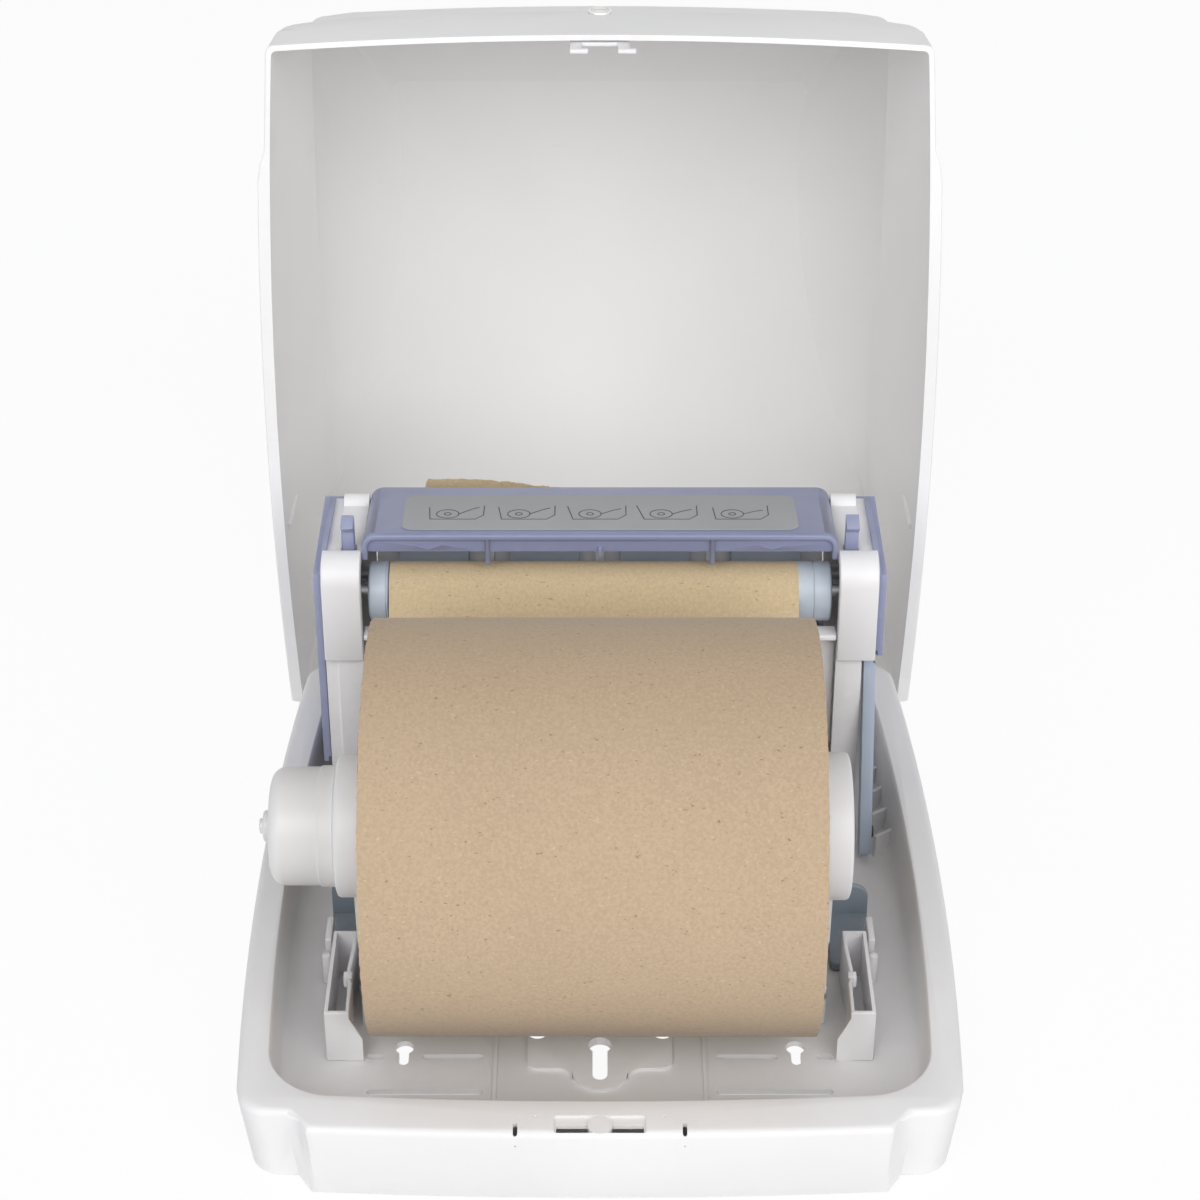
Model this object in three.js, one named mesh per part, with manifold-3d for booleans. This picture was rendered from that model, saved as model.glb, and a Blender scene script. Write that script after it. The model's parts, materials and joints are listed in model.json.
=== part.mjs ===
import * as THREE from 'three';
import { mergeVertices } from 'three/addons/utils/BufferGeometryUtils.js';
import Module from 'manifold-3d';

// A roll towel dispenser for a wall, lying on its back with its cover swung open.
// Millimetres. X runs across, Y from the lock end to the outlet end, Z out from the wall.
// The origin is the middle of the wall face. Hung on a wall, +Y points down.

const wasm = await Module();
wasm.setup();

// Clearances and cutting
const seatGap = 0.3;
const runningGap = 0.6;
const cutOverrun = 5;
const cornerSteps = 4;
const arcSteps = 6;
const smallArcSteps = 4;
const roundSegments = 28;
const smallSegments = 16;
const hubSegments = 32;

// Rear tray
const trayFarY = 183;
const trayLength = 362.8;
const trayNearY = trayFarY - trayLength;
const trayHalfWidth = 166.6;
const trayWidestY = -11;
const trayTaperShare = 0.05;
const trayBow = 5.6;
const trayRimHeight = 42;
const trayFloor = 3;
const trayWall = 2.8;
const trayDraft = 4;
const trayEdgeRound = 3;
const trayNearRadius = 12;
const trayFarRadius = 12;
const sideLedge = 13;
const nearLedge = 21;
const farLedge = 12;
const innerRadius = 25;
const innerSlope = 5;
const floorRound = 4;
const innerDraft = 1;
const blockRecess = 10;
const ridgeHeight = 1.6;
const ridgeWidth = 2.4;
const ridgeX = 49;

// Fixing holes through the tray floor, placed from the lock end
const keyholeNearGap = 94.8;
const keyholeY = trayNearY + keyholeNearGap;
const keyholeHead = 11;
const keyholeSlot = 7;
const keyholeLength = 24;
const sideKeyholeX = 92;
const sideKeyholeHead = 9;
const sideKeyholeSlot = 4.6;
const sideKeyholeLength = 12;
const shortSlotLength = 8;
const longSlotLength = 29;
const slotWidth = 3.4;
const slotRowGap = 6.5;
const slotRowY = keyholeY - slotRowGap;
const secondRowLength = 54;
const secondRowGap = 30.6;
const secondRowY = keyholeY - secondRowGap;
const shortSlotX = 105.8;
const longSlotX = 69;
const secondRowX = 81;
const padWidth = 68;
const padLength = 34;
const padHeight = 1.6;
const lobeRadius = 13;

// Catch windows in the near rim
const windowLength = 15;
const windowWidth = 4.6;
const windowSetback = 4.2;
const windowX = 11.7;
const rimSlotX = 37;
const rimSlotWidth = 2;
const rimSlotLength = 7;

// Slanted ribs on the tray floor beside the lever
const ribCount = 4;
const ribPitch = 19;
const ribLength = 15;
const ribThickness = 1.8;
const ribHeight = 13;
const ribTurn = Math.PI / 5;
const ribX = 147;
const ribFirstY = 66;

// Cover, described shut
const coverNearY = trayNearY;
const coverFarY = 196;
const coverHalfWidth = 172;
const coverWidestY = 28;
const coverTaperShare = 0.038;
const coverBow = 5.6;
const coverDepth = 176;
const coverCrown = 4;
const coverWall = 2.8;
const coverRimGap = 0.4;
const coverCorner = 9;
const coverFrontCorner = 40;
const coverFrontRound = 44;
const coverOutletLean = 9;
const coverLockLean = 20;
const coverSideLean = 3;
const coverRoundSteps = 4;
const coverStraightSteps = 3;
const coverCornerShare = 0.6;
const skirtProud = 3.4;
const skirtDepth = 30;
const skirtNearGap = 67.8;
const skirtStartY = coverNearY + skirtNearGap;
const outletSlotWidth = 224;
const outletSlotHeight = 20;
const outletSlotDepth = 104;
const openAngle = THREE.MathUtils.degToRad(93.7);

// Cover hinge
const hingeY = 178.25;
const hingeZ = 25;
const hingePinRadius = 2.6;
const earRadius = 6.5;
const earThickness = 6;
const earX = 133;
const lugThickness = 6;
const lugDepth = 15;
const lugHeight = 24;
const earReach = 22;
const earSeatShare = 0.75;
const hingeSlotDrop = 13;

// Lock
const barrelRadius = 6;
const barrelDepth = 52;
const barrelProud = 1.2;
const barrelLength = 15;
const keySlotWidth = 1.4;
const keySlotLength = 7;
const latchWidth = 26;
const latchThickness = 2.2;
const latchSetback = 0.8;
const latchFoot = 10;
const prongWidth = 6;
const prongDrop = 11;
const prongHook = 3;

// Feed roller
const feedY = 101;
const feedZ = 140;
const feedRadius = 14.4;
const feedPaperLeftX = -105;
const feedPaperRightX = 98;
const feedCapRadius = 15;
const feedCapReachX = 115;
const feedCapBevel = 1.2;
const feedAxleRadius = 4;
const axleReachX = 137;

// Paper roll and its core. A full roll fills the space between the lock end and the feed roller
const rollNearGap = 30.8;
const rollFeedGap = 57.6;
const rollFloorGap = 13;
const rollRadius = (feedY - rollFeedGap - trayNearY - rollNearGap) / 2;
const rollY = trayNearY + rollNearGap + rollRadius;
const rollZ = rollFloorGap + rollRadius;
const rollLength = 203;
const rollMiddleX = -3;
const rollSegments = 72;
const coreOuter = 22.5;
const coreWall = 1.8;

// Roll arms and hubs
const leftHeadRadius = 32;
const rightHeadRadius = 34;
const headThickness = 14.5;
const headGap = 1.4;
const headBore = 12;
const armThickness = 7;
const armTopWidth = 44;
const armFootRadius = 13;
const armFootZ = 20;
const armPinRadius = 3;
const hubSleeveRadius = 27.7;
const hubSleeveLength = 30;
const hubEndRound = 8;
const hubNubRadius = 7.2;
const hubNubLength = 4;
const hubTipRadius = 3.6;
const hubTipLength = 2;
const plugLength = 9;
const plugTaper = 3;
const rightCapRadius = 16;
const rightCapLength = 1.2;

// Brackets beside the arms
const bracketOuterX = 134;
const bracketInnerX = 117.5;
const bracketNearReach = 56.2;
const bracketFarReach = 18.8;
const bracketNearY = rollY - bracketNearReach;
const bracketFarY = rollY + bracketFarReach;
const bracketHeight = 29;
const bracketWall = 2.4;
const bracketLipSlope = 6;
const catchWidth = 8;
const catchThickness = 2;
const catchReach = 5;

// Base plates of the arms
const basePlateReach = 22.8;
const basePlateLength = 42;
const basePlateNearY = rollY + basePlateReach;
const basePlateFarY = basePlateNearY + basePlateLength;
const basePlateInnerX = 112;
const basePlateOuterX = 133;
const basePlateThickness = 5;
const basePlateWall = 3;
const basePlateWallHeight = 22;

// Drum
const drumY = 146.8;
const drumZ = 121.4;
const drumRadius = 33;
const drumCoreRadius = 27;
const drumReachX = 113;
const drumAxleRadius = 5;
const segmentCount = 4;
const segmentLength = 35.5;
const segmentPitch = 56;
const ringLength = 5;
const ringRadius = 31;

// Gears on the left, behind the side cover
const gearThickness = 4.4;
const gearGap = 0.7;
const drumTeeth = 42;
const feedTeeth = 18;
const toothHeight = 2.2;
const toothGap = 0.35;
const camRadius = 22;
const camLowRadius = 15.4;
const camSteps = 12;
const camThickness = 4.4;

// Side frames
const frameInnerX = 118;
const frameOuterX = 131;
const frameWall = 2.6;
const frameNearY = 82.4;
const frameBackY = 160;
const frameTopNearZ = 164;
const frameTopFarZ = 159;
const frameBulgeY = 182;
const strapOuterX = 137.3;
const strapThickness = 2.8;
const strapBottomZ = 112;
const strapTopY = 96;
const strapRound = 10;
const footLength = 66;
const footWidth = 8;
const footThickness = 4;
const screwRadius = 3.2;
const screwHeight = 2.2;
const guideBossRadius = 5.4;
const bushOuter = 8.2;
const bushFlange = 10.4;
const bushFlangeThickness = 1.4;

// Cross panel and ledge below the feed roller
const panelTopZ = 126;
const panelBottomZ = 56;
const panelY = 88;
const panelThickness = 2.6;
const ledgeDepth = 7;
const ledgeThickness = 3;

// Side covers
const sideCoverOuterX = 141.5;
const sideCoverWall = 2.4;
const sideCoverNearY = 86;
const leftCoverBottomZ = 46;
const rightCoverBottomZ = 111;

// Guide cover
const guideNearY = 95.5;
const guideNearZ = 176;
const guideFarY = 159;
const guideFarZ = 166;
const guideThickness = 2.4;
const guideHalfNear = 117.5;
const guideLip = 9.5;
const guideRibX = 55.5;
const guideRibDrop = 7;
const guideRibThickness = 2.4;
const guidePivotY = 156;
const guidePivotZ = 158;
const guidePinRadius = 2.4;
const guidePinLength = 7;
const guideEarRadius = 4.2;
const guideEarThickness = 3.6;
const labelLength = 197;
const labelWidth = 46;
const labelThickness = 0.5;
const labelRound = 6;
const labelOffsetShare = 0.45;

// Release tabs
const tabX = 124.6;
const tabWidth = 6.4;
const tabTopZ = 182;
const tabThickness = 5.4;
const tabHeadDepth = 7;
const tabHeadHeight = 7;
const tabY = 102.4;
const tabPinZ = 154;
const tabPinRadius = 2;
const tabSlotLength = 11;

// Lever
const leverInnerX = 132.6;
const leverOuterX = 137.2;
const leverPivotY = 100;
const leverPivotZ = 127;
const leverFootY = 61;
const leverFootZ = 11;
const leverTopWidth = 13;
const leverFootWidth = 11;
const leverPinRadius = 3;

// Paper web
const webThickness = 0.35;
const webGap = 0.28;
const webFeedSteps = 10;
const webDrumSteps = 26;
const tailTopZ = 156;
const tailLeftX = -91;
const tailRightX = -37;
const tailShortZ = 141;

// Outlet chute under the drum
const chuteGap = 3.2;
const chuteThickness = 2.4;
const chuteSteps = 9;
const chuteStart = Math.PI * 1.12;
const chuteEnd = Math.PI * 1.86;

const halfTurn = Math.PI;
const quarterTurn = Math.PI / 2;
const rollLeftX = rollMiddleX - rollLength / 2;
const rollRightX = rollMiddleX + rollLength / 2;

// Materials
function plastic(color, roughness) {
  return new THREE.MeshStandardMaterial({ color, roughness, metalness: 0 });
}
const white = plastic(0xe9e7e4, 0.45);
const paleBlue = plastic(0xb6bec7, 0.4);
const periwinkle = plastic(0x9297bc, 0.38);
const slate = plastic(0x79818a, 0.5);
const kraft = plastic(0xcab397, 0.95);
const board = plastic(0xa58a66, 0.95);
const labelGrey = plastic(0xb4b5b2, 0.6);
const steel = new THREE.MeshStandardMaterial({ color: 0xb8babd, roughness: 0.35, metalness: 1 });

// Solids, joins and cuts
function solid(geometry) {
  const plain = new THREE.BufferGeometry();
  plain.setAttribute('position', geometry.getAttribute('position').clone());
  if (geometry.index) plain.setIndex(geometry.index.clone());
  const merged = mergeVertices(plain);
  return new wasm.Manifold(new wasm.Mesh({
    numProp: 3,
    vertProperties: new Float32Array(merged.getAttribute('position').array),
    triVerts: new Uint32Array(merged.index.array),
  }));
}

function build(base, { add = [], cut = [] } = {}) {
  let body = solid(base);
  for (const item of add) body = body.add(solid(item));
  for (const item of cut) body = body.subtract(solid(item));
  const mesh = body.getMesh();
  const geometry = new THREE.BufferGeometry();
  geometry.setAttribute('position', new THREE.Float32BufferAttribute(mesh.vertProperties, 3));
  geometry.setIndex(new THREE.Uint32BufferAttribute(mesh.triVerts, 1));
  geometry.computeVertexNormals();
  return geometry;
}

// Basic shapes, placed by their limits
function box(x0, x1, y0, y1, z0, z1) {
  const geometry = new THREE.BoxGeometry(x1 - x0, y1 - y0, z1 - z0);
  return geometry.translate((x0 + x1) / 2, (y0 + y1) / 2, (z0 + z1) / 2);
}

function cylinderX(radius, x0, x1, y, z, segments = roundSegments) {
  const geometry = new THREE.CylinderGeometry(radius, radius, x1 - x0, segments);
  return geometry.rotateZ(-quarterTurn).translate((x0 + x1) / 2, y, z);
}

function ringX(outer, inner, x0, x1, y, z, segments = roundSegments) {
  const profile = [[inner, x0], [outer, x0], [outer, x1], [inner, x1], [inner, x0]];
  return turnedX(profile, y, z, segments);
}

// A turned shape about an axis along X; the profile holds [radius, x] pairs with x rising outside
function turnedX(profile, y, z, segments = roundSegments) {
  const points = profile.map(([radius, x]) => new THREE.Vector2(radius, x));
  const geometry = new THREE.LatheGeometry(points, segments);
  return geometry.rotateZ(-quarterTurn).translate(0, y, z);
}

// An outline in the Y and Z plane, drawn out along X
function sideSlab(outlinePoints, x0, x1) {
  const shape = outlinePoints instanceof THREE.Shape ? outlinePoints : shapeOf(outlinePoints);
  const settings = { depth: x1 - x0, bevelEnabled: false, curveSegments: arcSteps };
  const geometry = new THREE.ExtrudeGeometry(shape, settings);
  const turn = new THREE.Matrix4().makeBasis(
    new THREE.Vector3(0, 1, 0), new THREE.Vector3(0, 0, 1), new THREE.Vector3(1, 0, 0));
  turn.setPosition(x0, 0, 0);
  return geometry.applyMatrix4(turn);
}

// An outline in the X and Y plane, drawn up along Z
function floorSlab(shape, z0, z1) {
  const settings = { depth: z1 - z0, bevelEnabled: false, curveSegments: arcSteps };
  const geometry = new THREE.ExtrudeGeometry(shape, settings);
  return geometry.translate(0, 0, z0);
}

function shapeOf(points) {
  return new THREE.Shape(points.map(([a, b]) => new THREE.Vector2(a, b)));
}

function arcPoints(cx, cy, radius, start, end, steps) {
  const points = [];
  for (let i = 0; i <= steps; i++) {
    const angle = start + (end - start) * i / steps;
    points.push([cx + radius * Math.cos(angle), cy + radius * Math.sin(angle)]);
  }
  return points;
}

function slotShape(cx, cy, length, width) {
  const half = (length - width) / 2;
  return shapeOf([
    ...arcPoints(cx + half, cy, width / 2, -quarterTurn, quarterTurn, arcSteps),
    ...arcPoints(cx - half, cy, width / 2, quarterTurn, quarterTurn * 3, arcSteps)]);
}

function mirrorX(geometry) {
  const flipped = geometry.clone().scale(-1, 1, 1);
  const count = flipped.getAttribute('position').count;
  const index = flipped.index ? [...flipped.index.array] : [...Array(count).keys()];
  for (let i = 0; i < index.length; i += 3) [index[i], index[i + 1]] = [index[i + 1], index[i]];
  flipped.setIndex(index);
  return flipped;
}

// A shell made of closed rings with equal point counts, capped at both ends
function ringSolid(rings, startCap, endCap) {
  const count = rings[0].length;
  const positions = rings.flat(2);
  const index = [];
  rings.slice(1).forEach((_, r) => {
    for (let i = 0; i < count; i++) {
      const a = r * count + i;
      const b = r * count + (i + 1) % count;
      index.push(a, b + count, b, a, a + count, b + count);
    }
  });
  const firstCentre = positions.length / 3;
  positions.push(...startCap, ...endCap);
  const last = (rings.length - 1) * count;
  for (let i = 0; i < count; i++) {
    const next = (i + 1) % count;
    index.push(firstCentre, i, next);
    index.push(firstCentre + 1, last + next, last + i);
  }
  const geometry = new THREE.BufferGeometry();
  geometry.setAttribute('position', new THREE.Float32BufferAttribute(positions, 3));
  geometry.setIndex(index);
  return geometry;
}

// One ring: a rounded oblong, widest part way along, bowed at the near end and with its corners set back
const nearShares = [-0.905, -0.88, -0.58, -0.29, 0, 0.29, 0.58, 0.88, 0.905];
const recessShare = 0.9;
const bowReachShare = 0.25;
const skirtEdgeShare = 0.95;
const sideShares = [0.16, 0.3, 0.44, 0.58, 0.72, 0.86];
const farShares = [0.7, 0.35, 0, -0.35, -0.7];

function ring(size, z) {
  const { halfWidth, nearY, farY, nearRadius, farRadius, bow, taperShare, widestY } = size;
  const { recess = 0, skirt = 0 } = size;
  const points = [];
  const length = farY - nearY;
  const nearStraight = halfWidth - nearRadius;
  const farStraight = halfWidth - farRadius;
  const nearCentre = nearY + nearRadius;
  const farCentre = farY - farRadius;
  points.push(...nearShares.map((share) => [share * nearStraight, nearY]));
  points.push(...arcPoints(nearStraight, nearCentre, nearRadius, -quarterTurn, 0, cornerSteps));
  points.push(...sideShares.map((share) => [halfWidth, nearY + share * length]));
  points.push(...arcPoints(farStraight, farCentre, farRadius, 0, quarterTurn, cornerSteps));
  points.push(...farShares.map((share) => [share * farStraight, farY]));
  points.push(...arcPoints(-farStraight, farCentre, farRadius, quarterTurn, halfTurn, cornerSteps));
  points.push(...sideShares.toReversed().map((share) => [-halfWidth, nearY + share * length]));
  points.push(...arcPoints(-nearStraight, nearCentre, nearRadius, halfTurn, quarterTurn * 3, cornerSteps));
  return points.map(([x, y]) => {
    const along = (y - widestY) / (length / 2);
    const nearness = Math.max(0, 1 - (y - nearY) / (length * bowReachShare));
    const inCorner = Math.abs(x) > nearStraight * recessShare && y < nearCentre + seatGap;
    const onSide = Math.abs(x) > halfWidth * skirtEdgeShare && y > skirtStartY;
    const setBack = inCorner ? recess : 0;
    const proud = onSide ? skirt * Math.sign(x) : 0;
    return [
      x * (1 - taperShare * along * along) + proud,
      y - bow * (1 - (x / halfWidth) ** 2) * nearness ** 2 + setBack,
      z,
    ];
  });
}

// Rear tray: floor, sloped inner wall, ledge and an outer wall that is hollow behind
function trayRing(z, side, near, far, radius, recess) {
  return ring({
    halfWidth: trayHalfWidth - side,
    nearY: trayNearY + near,
    farY: trayFarY - far,
    nearRadius: radius,
    farRadius: Math.min(radius, trayFarRadius),
    bow: trayBow,
    taperShare: trayTaperShare,
    widestY: trayWidestY,
    recess,
  }, z);
}

function trayShell() {
  const lip = trayRimHeight - trayWall;
  const low = trayFloor + floorRound;
  const inside = trayDraft + trayWall;
  const spread = innerSlope + floorRound;
  const rings = [
    trayRing(trayFloor, sideLedge + spread, nearLedge + spread, farLedge + floorRound, innerRadius, 0),
    trayRing(low, sideLedge + innerSlope / 2, nearLedge + innerSlope / 2, farLedge + innerDraft,
      innerRadius, 0),
    trayRing(trayRimHeight - trayEdgeRound, sideLedge + innerDraft, nearLedge + innerDraft,
      farLedge, innerRadius, 0),
    trayRing(trayRimHeight, sideLedge, nearLedge, farLedge, innerRadius, 0),
    trayRing(trayRimHeight, trayEdgeRound, trayEdgeRound, trayEdgeRound, trayNearRadius, blockRecess),
    trayRing(trayRimHeight - trayEdgeRound, 0, 0, 0, trayNearRadius, blockRecess),
    trayRing(0, trayDraft, trayDraft, trayDraft, trayNearRadius, blockRecess),
    trayRing(0, inside, inside, inside, trayNearRadius, blockRecess),
    trayRing(lip, trayWall, trayWall, trayWall, trayNearRadius, blockRecess),
    trayRing(lip, sideLedge - trayWall, nearLedge - trayWall, farLedge - trayWall, innerRadius, 0),
    trayRing(low, sideLedge + innerSlope / 2 - trayWall, nearLedge + innerSlope / 2 - trayWall,
      farLedge + innerDraft - trayWall, innerRadius, 0),
    trayRing(0, sideLedge + spread - trayWall, nearLedge + spread - trayWall,
      farLedge + floorRound - trayWall, innerRadius, 0),
  ];
  return ringSolid(rings, [0, 0, trayFloor], [0, 0, 0]);
}

// Keyhole: a round head with a slot towards the lock end
function keyholeCuts(x, head, width, length) {
  const slot = new THREE.Shape();
  const half = width / 2;
  slot.moveTo(x - half, keyholeY);
  slot.lineTo(x - half, keyholeY - length + half);
  slot.absarc(x, keyholeY - length + half, half, halfTurn, halfTurn * 2, false);
  slot.lineTo(x + half, keyholeY);
  const lastAngle = halfTurn * 2 * (1 - 1 / smallSegments);
  const round = shapeOf(arcPoints(x, keyholeY, head / 2, 0, lastAngle, smallSegments - 1));
  const top = trayFloor + padHeight + cutOverrun;
  return [floorSlab(slot, -cutOverrun, top), floorSlab(round, -cutOverrun, top)];
}

function floorSlot(x, y, length) {
  return floorSlab(slotShape(x, y, length, slotWidth), -cutOverrun, trayFloor + cutOverrun);
}

function hingeLug(side, inner, outer) {
  const near = trayFarY - lugDepth;
  const points = [
    [near, trayFloor], [trayFarY, trayFloor],
    ...arcPoints(hingeY, hingeZ, trayFarY - hingeY, 0, quarterTurn, smallArcSteps),
    [near, trayFloor + lugHeight]];
  return sideSlab(points, Math.min(side * inner, side * outer), Math.max(side * inner, side * outer));
}

function rearTray() {
  const add = [];
  const cut = [];
  const pad = new THREE.Shape();
  const padTop = keyholeY + padLength / 2;
  pad.moveTo(-padWidth / 2, padTop);
  pad.lineTo(-padWidth / 2, keyholeY);
  pad.lineTo(-lobeRadius, keyholeY - keyholeLength + lobeRadius / 2);
  pad.absarc(0, keyholeY - keyholeLength + lobeRadius / 2, lobeRadius, halfTurn, halfTurn * 2, false);
  pad.lineTo(padWidth / 2, keyholeY);
  pad.lineTo(padWidth / 2, padTop);
  add.push(floorSlab(pad, trayFloor / 2, trayFloor + padHeight));
  for (const side of [-1, 1]) {
    const edge = side * ridgeX;
    add.push(box(edge - ridgeWidth / 2, edge + ridgeWidth / 2, padTop, frameBackY, trayFloor / 2,
      trayFloor + ridgeHeight));
    for (const [inner, outer] of [
      [earX - earThickness / 2 - seatGap - lugThickness, earX - earThickness / 2 - seatGap],
      [earX + earThickness / 2 + seatGap, earX + earThickness / 2 + seatGap + lugThickness]]) {
      add.push(hingeLug(side, inner, outer));
    }
    const half = earThickness / 2 + seatGap;
    cut.push(box(side * earX - half, side * earX + half, trayFarY - lugDepth, trayFarY + cutOverrun,
      hingeZ - hingeSlotDrop, trayRimHeight + cutOverrun));
    cut.push(cylinderX(hingePinRadius + seatGap, side * earX - earThickness / 2 - lugThickness - cutOverrun,
      side * earX + earThickness / 2 + lugThickness + cutOverrun, hingeY, hingeZ, smallSegments));
    cut.push(...keyholeCuts(side * sideKeyholeX, sideKeyholeHead, sideKeyholeSlot, sideKeyholeLength));
    cut.push(floorSlot(side * shortSlotX, slotRowY, shortSlotLength));
    cut.push(floorSlot(side * longSlotX, slotRowY, longSlotLength));
    cut.push(floorSlot(side * secondRowX, secondRowY, secondRowLength));
    const windowY = trayNearY - trayBow + windowSetback;
    cut.push(box(side * windowX - windowLength / 2, side * windowX + windowLength / 2,
      windowY - windowWidth / 2, windowY + windowWidth / 2, trayRimHeight - trayWall - cutOverrun,
      trayRimHeight + cutOverrun));
    cut.push(box(side * rimSlotX - rimSlotWidth / 2, side * rimSlotX + rimSlotWidth / 2,
      windowY - rimSlotLength / 2, windowY + rimSlotLength / 2, trayRimHeight - trayWall - cutOverrun,
      trayRimHeight + cutOverrun));
  }
  for (let i = 0; i < ribCount; i++) {
    const rib = new THREE.BoxGeometry(ribLength, ribThickness, ribHeight);
    rib.rotateZ(ribTurn).translate(ribX, ribFirstY + i * ribPitch, trayFloor + ribHeight / 2);
    add.push(rib);
  }
  cut.push(...keyholeCuts(0, keyholeHead, keyholeSlot, keyholeLength));
  return build(trayShell(), { add, cut });
}

// Cover shell, described shut: rim towards the wall, crowned front, round front edges
function coverLevels() {
  const straight = coverDepth - coverFrontRound;
  const levels = [];
  for (let i = 0; i <= coverStraightSteps; i++) {
    const share = i / coverStraightSteps;
    levels.push({
      depth: straight * share,
      side: coverSideLean * share,
      lock: coverLockLean * share * share,
      outlet: coverOutletLean * share,
      corner: coverCorner + (coverFrontCorner - coverCorner) * share * coverCornerShare,
    });
  }
  for (let i = 1; i <= coverRoundSteps; i++) {
    const share = i / coverRoundSteps;
    const angle = quarterTurn * share;
    const inward = coverFrontRound * (1 - Math.cos(angle));
    levels.push({
      depth: straight + coverFrontRound * Math.sin(angle),
      side: coverSideLean + inward,
      lock: coverLockLean + inward,
      outlet: coverOutletLean + inward / 2,
      corner: coverFrontCorner * (coverCornerShare + (1 - coverCornerShare) * share),
    });
  }
  return levels;
}

function coverRing(level, wall, skirt) {
  const rimZ = trayRimHeight + coverRimGap;
  const top = level.depth * (1 - wall / coverDepth);
  return ring({
    halfWidth: coverHalfWidth - level.side - wall,
    nearY: coverNearY + level.lock + wall,
    farY: coverFarY - level.outlet - wall,
    nearRadius: Math.max(level.corner - wall, wall),
    farRadius: Math.max(level.corner - wall, wall),
    bow: coverBow,
    taperShare: coverTaperShare,
    widestY: coverWidestY,
    skirt,
  }, rimZ + top);
}

function coverShellBlank() {
  const levels = coverLevels();
  const outer = levels.map((level) => coverRing(level, 0, 0));
  const skirtLevel = { ...levels[0], depth: skirtDepth, side: coverSideLean * skirtDepth / coverDepth };
  outer.splice(0, 1, coverRing(levels[0], 0, skirtProud), coverRing(skirtLevel, 0, skirtProud),
    coverRing({ ...skirtLevel, depth: skirtDepth + skirtProud }, 0, 0));
  const inner = levels.map((level) => coverRing(level, coverWall, 0));
  const frontZ = trayRimHeight + coverRimGap + coverDepth;
  return ringSolid([...outer.toReversed(), ...inner],
    [0, coverWidestY / 2, frontZ + coverCrown], [0, coverWidestY / 2, frontZ + coverCrown - coverWall]);
}

function coverEar(side) {
  const back = coverFarY - coverWall * earSeatShare;
  const top = trayRimHeight + earReach;
  const points = [
    ...arcPoints(hingeY, hingeZ, earRadius, halfTurn, halfTurn * 2, arcSteps),
    [back, trayRimHeight + coverRimGap], [back, top],
    [hingeY, top - earRadius], [hingeY - earRadius, trayRimHeight]];
  return sideSlab(points, side * earX - earThickness / 2, side * earX + earThickness / 2);
}

function coverShell() {
  const rimZ = trayRimHeight + coverRimGap;
  const nearWallY = coverNearY - coverBow;
  const add = [];
  const cut = [];
  const slotZ = rimZ + outletSlotDepth;
  const slotInnerY = coverFarY - coverOutletLean - coverWall - cutOverrun;
  cut.push(box(-outletSlotWidth / 2, outletSlotWidth / 2, slotInnerY, coverFarY + cutOverrun,
    slotZ, slotZ + outletSlotHeight));
  cut.push(cylinderY(barrelRadius + seatGap, nearWallY - cutOverrun, nearWallY + cutOverrun * 3,
    0, rimZ + barrelDepth, smallSegments));
  for (const side of [-1, 1]) {
    add.push(coverEar(side));
    cut.push(cylinderX(hingePinRadius + seatGap, side * earX - earThickness, side * earX + earThickness,
      hingeY, hingeZ, smallSegments));
  }
  return build(coverShellBlank(), { add, cut });
}

function cylinderY(radius, y0, y1, x, z, segments = roundSegments) {
  const geometry = new THREE.CylinderGeometry(radius, radius, y1 - y0, segments);
  return geometry.translate(x, (y0 + y1) / 2, z);
}

// Lock barrel with a key slot, seated in the cover's lock end
function lockBarrel() {
  const z = trayRimHeight + coverRimGap + barrelDepth;
  const face = coverNearY - coverBow - barrelProud;
  const slot = box(-keySlotLength / 2, keySlotLength / 2, face - cutOverrun, face + cutOverrun,
    z - keySlotWidth / 2, z + keySlotWidth / 2);
  return build(cylinderY(barrelRadius, face, face + barrelLength, 0, z, smallSegments), { cut: [slot] });
}

// Catch plate below the barrel. Its two prongs drop through the rim windows and hook sideways
function coverLatch() {
  const rimZ = trayRimHeight + coverRimGap;
  const near = coverNearY - coverBow + coverWall + seatGap + latchSetback;
  const far = near + latchThickness;
  const rise = barrelDepth - barrelRadius - seatGap;
  const top = rimZ + rise;
  const share = rise / (coverDepth - coverFrontRound);
  const lean = coverLockLean * share * share;
  const plate = [
    [near, rimZ + seatGap], [far, rimZ + seatGap], [far, rimZ + latchFoot], [far + lean, top],
    [near + lean, top], [near, rimZ + latchFoot]];
  const add = [];
  for (const side of [-1, 1]) {
    const x = side * windowX;
    const tip = rimZ - prongDrop;
    add.push(box(x - prongWidth / 2, x + prongWidth / 2, near, far, tip, rimZ + latchFoot));
    add.push(box(x, x + prongWidth / 2 + prongHook, near, far, tip, tip + prongHook));
  }
  return build(sideSlab(plate, -latchWidth / 2, latchWidth / 2), { add });
}

// Paper roll, core and what carries them
function paperRoll() {
  return ringX(rollRadius, coreOuter + seatGap, rollLeftX, rollRightX, rollY, rollZ, rollSegments);
}

function rollCore() {
  return ringX(coreOuter, coreOuter - coreWall, rollLeftX - seatGap, rollRightX + seatGap, rollY, rollZ);
}

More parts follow.
